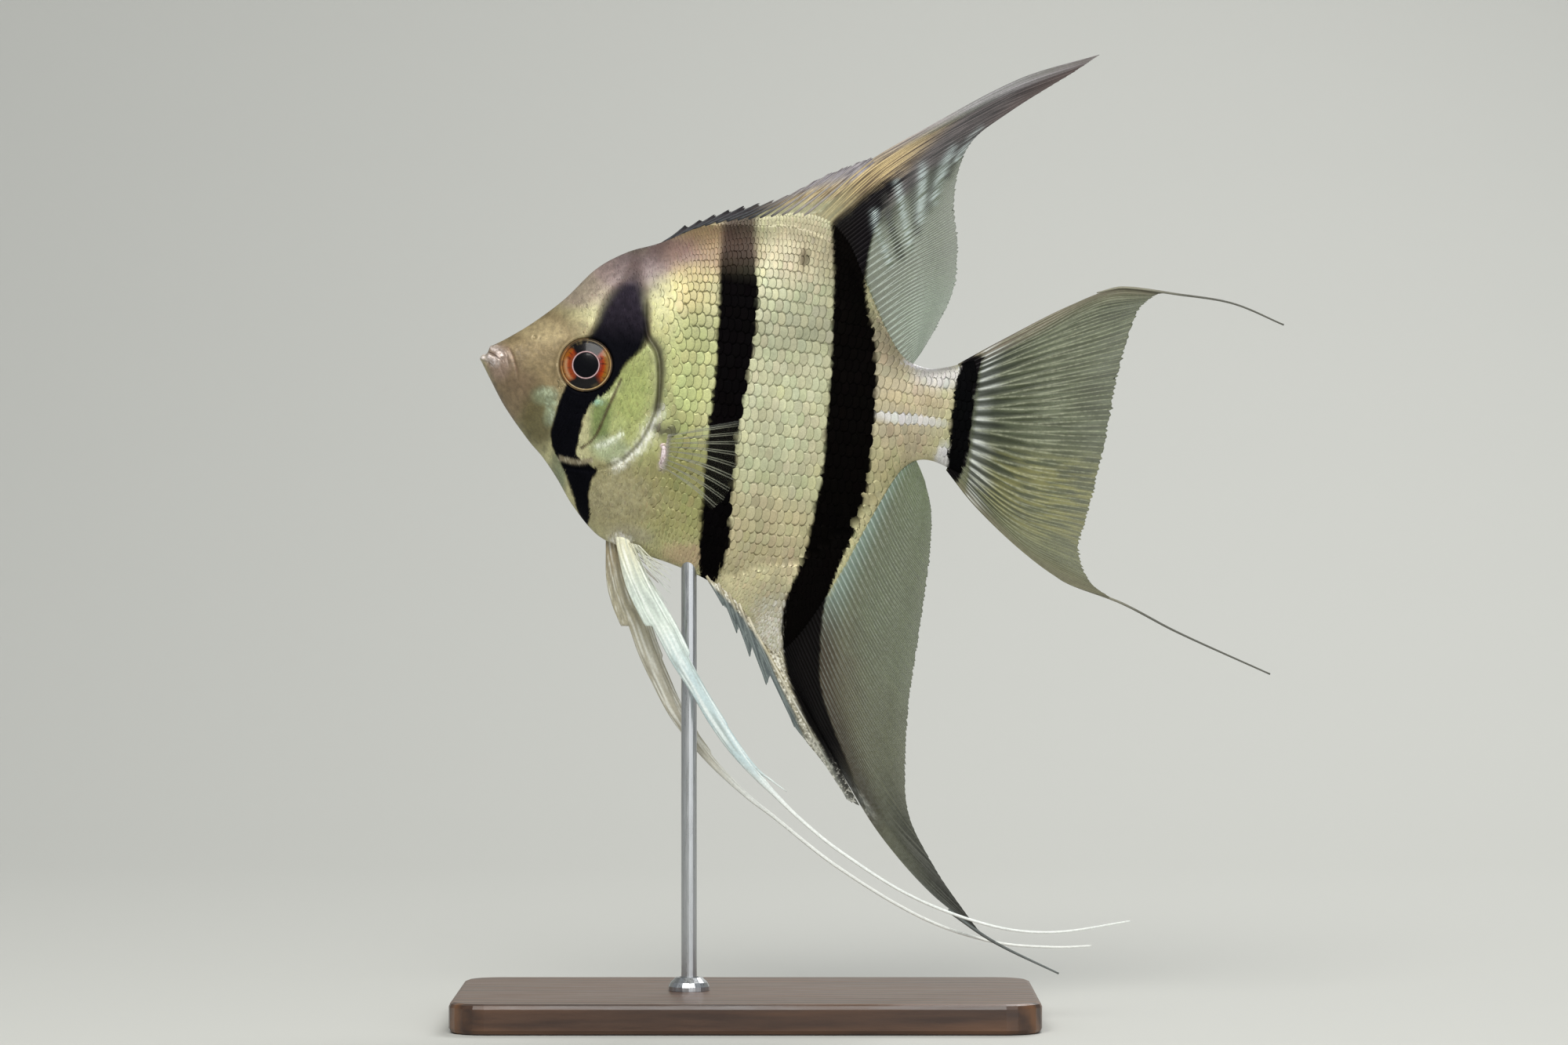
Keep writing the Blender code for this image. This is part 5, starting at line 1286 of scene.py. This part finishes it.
def tailLook(along, up, across, v):
    cloud = grain(along, up, 0, 5.0, 41.0)
    streak = grain(across * 60, v * 6, 0, 3.0, 2.0)
    ray = onRays(across, tail["rays"], v)
    hair = hairs(across, v, 90.0)
    dark = barAmount("tailRoot", along + 0.5 * streak, up)
    rootGleam = ease(82.2, 83.0, along) * fade(82.8, 86.8, along + 2.4 * streak)
    rootGleam = rootGleam * (0.06 + 0.84 * ray) * (0.4 + 0.6 * hair)
    gapShade = ease(82.0, 83.0, along) * fade(85.0, 96.0, along) * (1 - ray)
    edgeTop, edgeLow = fade(0.02, 0.16, across), ease(0.84, 0.98, across)
    yellow = ease(0.5, 0.62, across) * fade(0.76, 0.88, across) * ease(0.12, 0.35, v)
    colour = layers(srgb(72, 80, 46),
                    (srgb(112, 118, 96), 0.5 * hair),
                    (srgb(40, 44, 26), 0.35 * (1 - hair)),
                    (srgb(146, 140, 66), 0.65 * yellow * hair),
                    (srgb(112, 112, 76), 0.5 * ease(0.45, 0.9, across)),
                    (srgb(34, 38, 31), 0.85 * gapShade),
                    (srgb(132, 120, 104), (0.4 + 0.35 * hair) * edgeTop),
                    (srgb(104, 98, 80), 0.7 * edgeLow),
                    (srgb(232, 236, 236), 0.9 * rootGleam),
                    (srgb(14, 12, 13), dark))
    film = 0.74 + 0.2 * rootGleam + 0.3 * edgeTop + 0.3 * edgeLow + 0.3 * gapShade - 0.1 * ease(0.7, 1.0, v)
    film = np.maximum(np.maximum(film, dark), 1 - 0.6 * ease(0.02, 0.12, v))
    glow = (1 - dark) * (0.72 + 0.28 * rootGleam) * (0.7 + 0.3 * ease(84.0, 90.0, along))
    colour = colour * (1 + 0.1 * cloud + 0.06 * streak)[:, None]
    return colour, {"film": np.clip(film, 0.2, 1), "glow": glow, "dark": dark}


def tailRipple(across, v):
    return tail["sway"] * v * np.sin(across * 10 + 0.4) * ease(0.1, 0.6, v)


def threadTint(along, up):
    return layers(srgb(124, 120, 100), (srgb(66, 64, 54), 0.85 * ease(106.0, 116.0, along)))


finPiece(fan("tail_fan", tail, tailRipple, tailLook, tailFin), "tail_fin")
t = np.linspace(0, 1, 45)
parts = [tube(placed(smoothLine(points, 44)), (0.24 - 0.1 * t) * ease(-0.12, 0.16, t))
         for points in tail["threads"]]
threadPiece("tail_threads", parts, threadTint, spineFin, "tail_fin", 0.4)
print("tail fin done")

# pectoral fins, folded open behind the gill covers
pectoral = {
    "root": (32.2, -11.8), "out": 6.3, "splay": math.radians(43.0), "cup": 0.006,
    "rays": 9, "perRay": 10, "steps": 36, "thickness": (0.1, 0.26), "sway": 0.18,
    # in the fin's own plane: run, height
    "keyRays": [[(-0.6, 2.4), (8.0, 4.4), (18.2, 6.2)],
                [(-0.6, 1.3), (9.0, 2.2), (18.8, 3.0)],
                [(-0.6, 0.0), (9.0, -0.2), (18.7, -1.2)],
                [(-0.6, -1.4), (8.4, -3.2), (17.4, -5.6)],
                [(-0.6, -2.8), (6.8, -5.6), (13.6, -8.8)]],
    # the fleshy root the rays grow from: run, lift, height
    "lobe": [(-1.0, 0.0, 1.1), (-0.4, 0.1, 0.9), (0.1, 0.15, 0.2), (0.2, 0.15, -0.8), (-0.1, 0.1, -1.8),
             (-0.8, 0.0, -2.5)],
}


# from the fin's own plane (run, lift, height) to the fish, swung out from the flank
def splayed(points, side):
    run, lift, height = points[:, 0], points[:, 1], points[:, 2]
    lift = lift + pectoral["cup"] * run * np.abs(run)
    cosS, sinS = math.cos(pectoral["splay"]), math.sin(pectoral["splay"])
    along = pectoral["root"][0] + run * cosS - lift * sinS
    out = pectoral["out"] + run * sinS + lift * cosS
    return np.stack([along, side * out, pectoral["root"][1] + height], axis=1)


def pectoralLook(along, up, across, v):
    lead = fade(0.0, 0.07, across)
    root = fade(0.02, 0.12, v)
    colour = layers(srgb(150, 152, 128), (srgb(206, 190, 188), root * 0.8), (srgb(196, 200, 196), lead * 0.6))
    return colour, {"film": np.clip(0.012 + 0.12 * lead * (1 - 0.7 * v) + 0.85 * root, 0, 0.95), "glow": 0.95}


def lobeTint(along, up):
    rib = grain(along, up, 0, 0.3, 5.0)
    return layers(srgb(186, 168, 168), (srgb(226, 214, 216), 0.8 * ease(-0.1, 0.3, rib)),
                  (srgb(118, 100, 92), 0.6 * ease(0.1, 0.4, -rib)))


def pectoralRipple(across, v):
    return pectoral["sway"] * v * np.sin(across * 20)


# a fin made in its own plane, then swung out from the flank
def buildPectoral(side, sideName):
    obj = fan("pectoral_" + sideName, pectoral, pectoralRipple, pectoralLook, paleRays)
    mesh, place = obj.data, obj.data.attributes["place"].data
    flat = np.empty(len(mesh.vertices) * 3, np.float32)
    place.foreach_get("vector", flat)
    places = splayed(flat.reshape(-1, 3).astype(float), side)
    mesh.vertices.foreach_set("co", toWorld(places).astype(np.float32).ravel())
    place.foreach_set("vector", places.astype(np.float32).ravel())
    if side < 0:
        mesh.flip_normals()
    mesh.update()
    finPiece(obj, "pectoral_fin_" + sideName)
    lobe = splayed(smoothLine(pectoral["lobe"], 20), side)
    root = tube(lobe, 0.1 + 0.36 * np.sin(np.linspace(0.2, math.pi - 0.3, len(lobe))), 14, 0.6)
    threadPiece("pectoral_root_" + sideName, [root], lobeTint, spineFin, "pectoral_fin_" + sideName, 0.2)


paleRays = makeFinMaterial("pectoralFilm", srgb(150, 150, 140), rayWidth=(0.15, 0.075), dash=0.2,
                           split=(0.12, 0.0), cover=(0.75, 0.3))
for side, sideName in sides:
    buildPectoral(side, sideName)
print("pectoral fins done")

# pelvic fins: two long blades of a few strands that run out into threads
pelvic = {
    # the long blade of each side: along, up, out, width
    "left": [(26.9, -26.6, 1.2, 1.7), (27.5, -28.3, 1.5, 1.9), (29.5, -32.2, 2.2, 2.2),
             (31.5, -35.4, 2.7, 2.5), (33.9, -38.7, 3.2, 2.8), (36.2, -41.8, 3.5, 3.0),
             (38.7, -45.5, 3.8, 2.8), (42.6, -50.6, 3.9, 2.3), (45.7, -54.6, 3.9, 2.35),
             (49.2, -58.6, 3.8, 2.2), (51.8, -61.2, 3.8, 1.8), (54.4, -63.6, 3.7, 1.3),
             (57.2, -65.9, 3.6, 0.85), (61.5, -69.2, 3.4, 0.62), (68.6, -73.7, 3.3, 0.56),
             (81.8, -79.9, 3.1, 0.52), (95.5, -83.1, 3.1, 0.46), (105.5, -82.9, 3.2, 0.4),
             (117.9, -79.5, 3.4, 0.26)],
    "right": [(25.0, -26.6, 1.2, 1.2), (25.5, -28.6, 1.5, 1.5), (27.0, -33.4, 2.4, 1.9),
              (28.8, -37.4, 3.0, 2.3), (30.8, -40.5, 3.3, 2.8), (33.0, -44.9, 3.6, 2.9),
              (35.2, -48.7, 3.8, 2.7), (39.2, -54.9, 3.9, 2.2), (43.6, -59.7, 3.8, 1.7),
              (47.2, -63.0, 3.7, 1.3), (52.9, -67.2, 3.6, 0.85), (57.4, -69.9, 3.5, 0.64),
              (69.0, -76.9, 3.3, 0.58), (84.1, -83.6, 3.1, 0.52), (96.1, -86.1, 3.1, 0.46),
              (106.2, -85.8, 3.2, 0.4), (112.5, -84.8, 3.4, 0.3)],
    # shorter strands on its edges: -1 in front or 1 behind, how far in and out of the edge,
    # the share of the length where each ends, half thickness
    "strands": {"left": [(-1, 0.35, 1.0, 0.142, 0.3), (1, 0.5, 0.75, 0.21, 0.22), (1, 0.9, 0.2, 0.33, 0.24)],
                "right": [(-1, 0.35, 1.25, 0.138, 0.3), (1, 0.5, 0.8, 0.21, 0.24), (1, 0.7, 0.5, 0.285, 0.24),
                          (1, 0.6, 0.4, 0.34, 0.22), (1, 0.4, 0.3, 0.372, 0.2)]},
    "steps": 190, "columns": 24,
    # fine rays that fan out behind the root: the first one's root, the way to the last root, the first tip
    "innerRays": 15, "innerRoot": [(29.8, -27.8), (-1.6, 0.2)], "innerTip": (35.9, -31.2),
    "branch": [(51.6, -60.2), (54.0, -62.3), (56.4, -63.7), (59.1, -65.2)],         # beside the left blade
    # tints: main, further down, at the root; the right fin's, on the far side, are darker and browner as painted
    # shade
    "tints": {"left": (srgb(190, 200, 188), srgb(172, 190, 192), srgb(198, 192, 158)),
              "right": (srgb(158, 150, 124), srgb(170, 164, 146), srgb(136, 118, 82))},
}


# one strand: a flat ribbon with an oval section and fine grooves; edge 0 is the whole blade
def strand(line, edge, inner, outer, end, thick, side):
    last, columns = int(end * (len(line) - 1)), pelvic["columns"]
    here = line[:last + 1]
    run = np.gradient(line[:, :2], axis=0)[:last + 1]
    run /= np.linalg.norm(run, axis=1)[:, None]
    behind = np.stack([-run[:, 1], run[:, 0]], axis=1)
    t = np.linspace(0, 1, len(here))
    reach = here[:, 3] / 2
    narrowed = (inner + outer) * 0.8 * ease(0.955, 1.0, t) * (edge != 0)        # a side strand ends in a point
    far = reach + outer * (0.25 + 0.75 * ease(0.0, 0.6, t)) - narrowed
    near = reach - inner if edge else -reach
    centre = here[:, :2] + behind * ((far + near) / 2 * edge)[:, None]
    half = (far - near) / 2
    turn = 2 * math.pi * np.arange(columns) / columns
    groove = 1 + 0.14 * np.cos(turn * 12)
    thickness = np.minimum(thick, half * 0.95)
    flat = centre[:, None, :] + behind[:, None, :] * (half[:, None] * np.cos(turn)[None, :])[:, :, None]
    out = side * (here[:, 2][:, None] + thickness[:, None] * np.sin(turn)[None, :] * groove[None, :])
    points = np.stack([flat[..., 0], out, flat[..., 1]], axis=2).reshape(-1, 3)
    return points, tubeFaces(len(here), columns, flip=side > 0)


def pelvicColour(sideName, line):
    main, lower, root = pelvic["tints"][sideName]

    def colour(along, up):
        gap, side, share = lineDistance(line[:, :2], along, up)
        streak = grain(gap * side, share * 1.6, 0, 0.2, 8.0)
        patchy = grain(along, up, 0, 3.0, 18.0)
        return layers(main, (lower, 0.9 * ease(-38.0, -50.0, up) + 0.15 * patchy),
                      (root, 0.8 * fade(-28.0, -37.0, up)),
                      (main * 0.45, 0.6 * ease(0.0, 0.5, streak)),
                      (srgb(240, 242, 236), 0.5 * ease(0.0, 0.45, -streak)),
                      (srgb(226, 228, 222), 0.9 * ease(-60.0, -68.0, up)))
    return colour


# the fine inner rays, each one drawn a little off its place
def innerRays(side, shift):
    (rootAlong, rootUp), (alongStep, upStep) = pelvic["innerRoot"]
    tipAlong, tipUp = pelvic["innerTip"]
    parts, t = [], np.linspace(0, 1, 15)
    for f in np.arange(pelvic["innerRays"]) / (pelvic["innerRays"] - 1):
        tip = np.array([tipAlong - 1.4 * f * (1 - f), tipUp - 8.6 * f]) + random.normal(0, 0.35, 2)
        root = np.array([rootAlong + alongStep * f, rootUp + upStep * f])
        bend = (root + tip) / 2 + np.array([-0.5, -0.3]) * random.uniform(0.3, 1.0)
        line = smoothLine([root, bend, tip], len(t) - 1) + [shift, 0]
        out = side * (1.8 + 0.8 * t + random.uniform(-0.2, 0.2))
        parts.append(tube(placed(line, out), 0.085 - 0.06 * t, 6))
    return parts


def buildPelvic(side, sideName):
    line = smoothLine(pelvic[sideName], pelvic["steps"])
    parts = [strand(line, 0, 0.0, 0.0, 1.0, 0.33, side)]
    parts += [strand(line, *shape, side) for shape in pelvic["strands"][sideName]]
    parts += innerRays(side, pelvic[sideName][0][0] - pelvic["left"][0][0])
    if side < 0:
        branch = smoothLine(pelvic["branch"], 16)
        parts.append(tube(placed(branch, -3.8), 0.32 - 0.25 * np.linspace(0, 1, len(branch)), 8))
    threadPiece("pelvic_" + sideName, parts, pelvicColour(sideName, line), milky, "pelvic_fin_" + sideName, 0.4)


milky = makeFinMaterial("milkyFin", srgb(230, 236, 236), rayGlow=0.2, dash=0.2)
for side, sideName in sides:
    buildPelvic(side, sideName)
print("pelvic fins done")


# stand: the CAD shapes stay, with wood and steel
def dressNode(nodeName, finish):
    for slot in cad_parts[nodeName].material_slots:
        slot.material = finish


def stretchedPlace(tree, scale):
    where = node(tree, "ShaderNodeTexCoord").outputs["Object"]
    return node(tree, "ShaderNodeMapping", {"Vector": where, "Scale": scale}).outputs[0]


def makeWood():
    made, tree, shader = newMaterial("standWood")
    fibre = noiseNode(tree, stretchedPlace(tree, (14.0, 190.0, 150.0)), 6.0, 6.0, 0.65)
    rings = node(tree, "ShaderNodeTexWave", {"Vector": stretchedPlace(tree, (5.0, 60.0, 60.0)), "Scale": 1.4,
                                             "Distortion": 5.0, "Detail": 3.0, "Detail Scale": 1.4},
                 bands_direction="Y").outputs["Fac"]
    figure = mathNode(tree, "ADD", mathNode(tree, "MULTIPLY", rings, 0.6),
                      mathNode(tree, "MULTIPLY", fibre, 0.5), clamp=True)
    ramp = node(tree, "ShaderNodeValToRGB", {"Fac": figure})
    tones = ((0.2, srgb(52, 32, 20)), (0.85, srgb(104, 70, 44)))
    for element, (position, tone) in zip(ramp.color_ramp.elements, tones):
        element.color, element.position = (*tone, 1), position
    feed(shader, {"Base Color": ramp.outputs[0], "Roughness": easeNode(tree, fibre, 0.3, 0.7, 0.36, 0.5),
                  "Normal": bumpNode(tree, fibre, 0.25, 0.0001), "Coat Weight": 0.2, "Coat Roughness": 0.25})
    return made


def makeSteel():
    made, tree, shader = newMaterial("standSteel")
    brushed = noiseNode(tree, stretchedPlace(tree, (900.0, 900.0, 60.0)), 3.0, 5.0, 0.6)
    tint = brightened(tree, (*srgb(196, 198, 200), 1), easeNode(tree, brushed, 0.25, 0.75, 0.85, 1.1))
    feed(shader, {"Base Color": tint, "Roughness": easeNode(tree, brushed, 0.25, 0.75, 0.24, 0.4),
                  "Normal": bumpNode(tree, brushed, 0.15, 0.00003), "Metallic": 1.0})
    return made


dressNode("stand_base", makeWood())
steel = makeSteel()
for part in ("stand_rod", "stand_collar"):
    dressNode(part, steel)
print("stand dressed")


# floor, backdrop and soft light
studio = {
    "floorTone": srgb(196, 196, 190), "reach": 3.0, "backAt": 0.9, "curve": 0.5, "curveSteps": 12,
    "lightsAimAt": (0.01, 0.0, 0.09), "sky": (0.8, 0.85, 0.9, 1), "skyStrength": 0.35,
    # place, width and height, power, colour
    "lights": {"top_key": ((-0.1, -0.7, 0.68), (0.6, 0.45), 7.4, (1.0, 0.99, 0.96)),
               "front_fill": ((0.5, -0.9, 0.25), (0.9, 0.7), 3.0, (0.96, 0.98, 1.0)),
               "rear_rim": ((0.3, 0.5, 0.7), (0.5, 0.4), 4.0, (1, 1, 1))},
}


def buildStage():
    reach, back, curve = studio["reach"], studio["backAt"], studio["curve"]
    profile = [(-reach, 0.0), (back - curve, 0.0)]
    for k in range(1, studio["curveSteps"] + 1):
        turn = math.pi / 2 * k / studio["curveSteps"]
        profile.append((back - curve + curve * math.sin(turn), curve * (1 - math.cos(turn))))
    profile.append((back, reach))
    verts = [(x, y, z) for y, z in profile for x in (-reach, reach)]
    mesh = bpy.data.meshes.new("studio_floor")
    mesh.from_pydata(verts, [], [(2 * i, 2 * i + 1, 2 * i + 3, 2 * i + 2) for i in range(len(profile) - 1)])
    mesh.shade_smooth()
    obj = bpy.data.objects.new("studio_floor", mesh)
    bpy.context.scene.collection.objects.link(obj)
    paper, _, shader = newMaterial("studioPaper")
    feed(shader, {"Base Color": (*studio["floorTone"], 1), "Roughness": 0.8})
    mesh.materials.append(paper)


def softLight(name, place, size, power, colour):
    light = bpy.data.lights.new(name, "AREA")
    light.shape, light.size, light.size_y = "RECTANGLE", *size
    light.energy, light.color = power, colour
    obj = bpy.data.objects.new(name, light)
    bpy.context.scene.collection.objects.link(obj)
    obj.location = place
    obj.rotation_euler = (Vector(studio["lightsAimAt"]) - Vector(place)).to_track_quat("-Z", "Y").to_euler()


buildStage()
for name, settings in studio["lights"].items():
    softLight(name, *settings)
bpy.context.scene.view_settings.view_transform = "Standard"
world = bpy.data.worlds.new("studio")
bpy.context.scene.world = world
world.use_nodes = True
feed(world.node_tree.nodes["Background"], {"Color": studio["sky"], "Strength": studio["skyStrength"]})
print("floor and lights set")
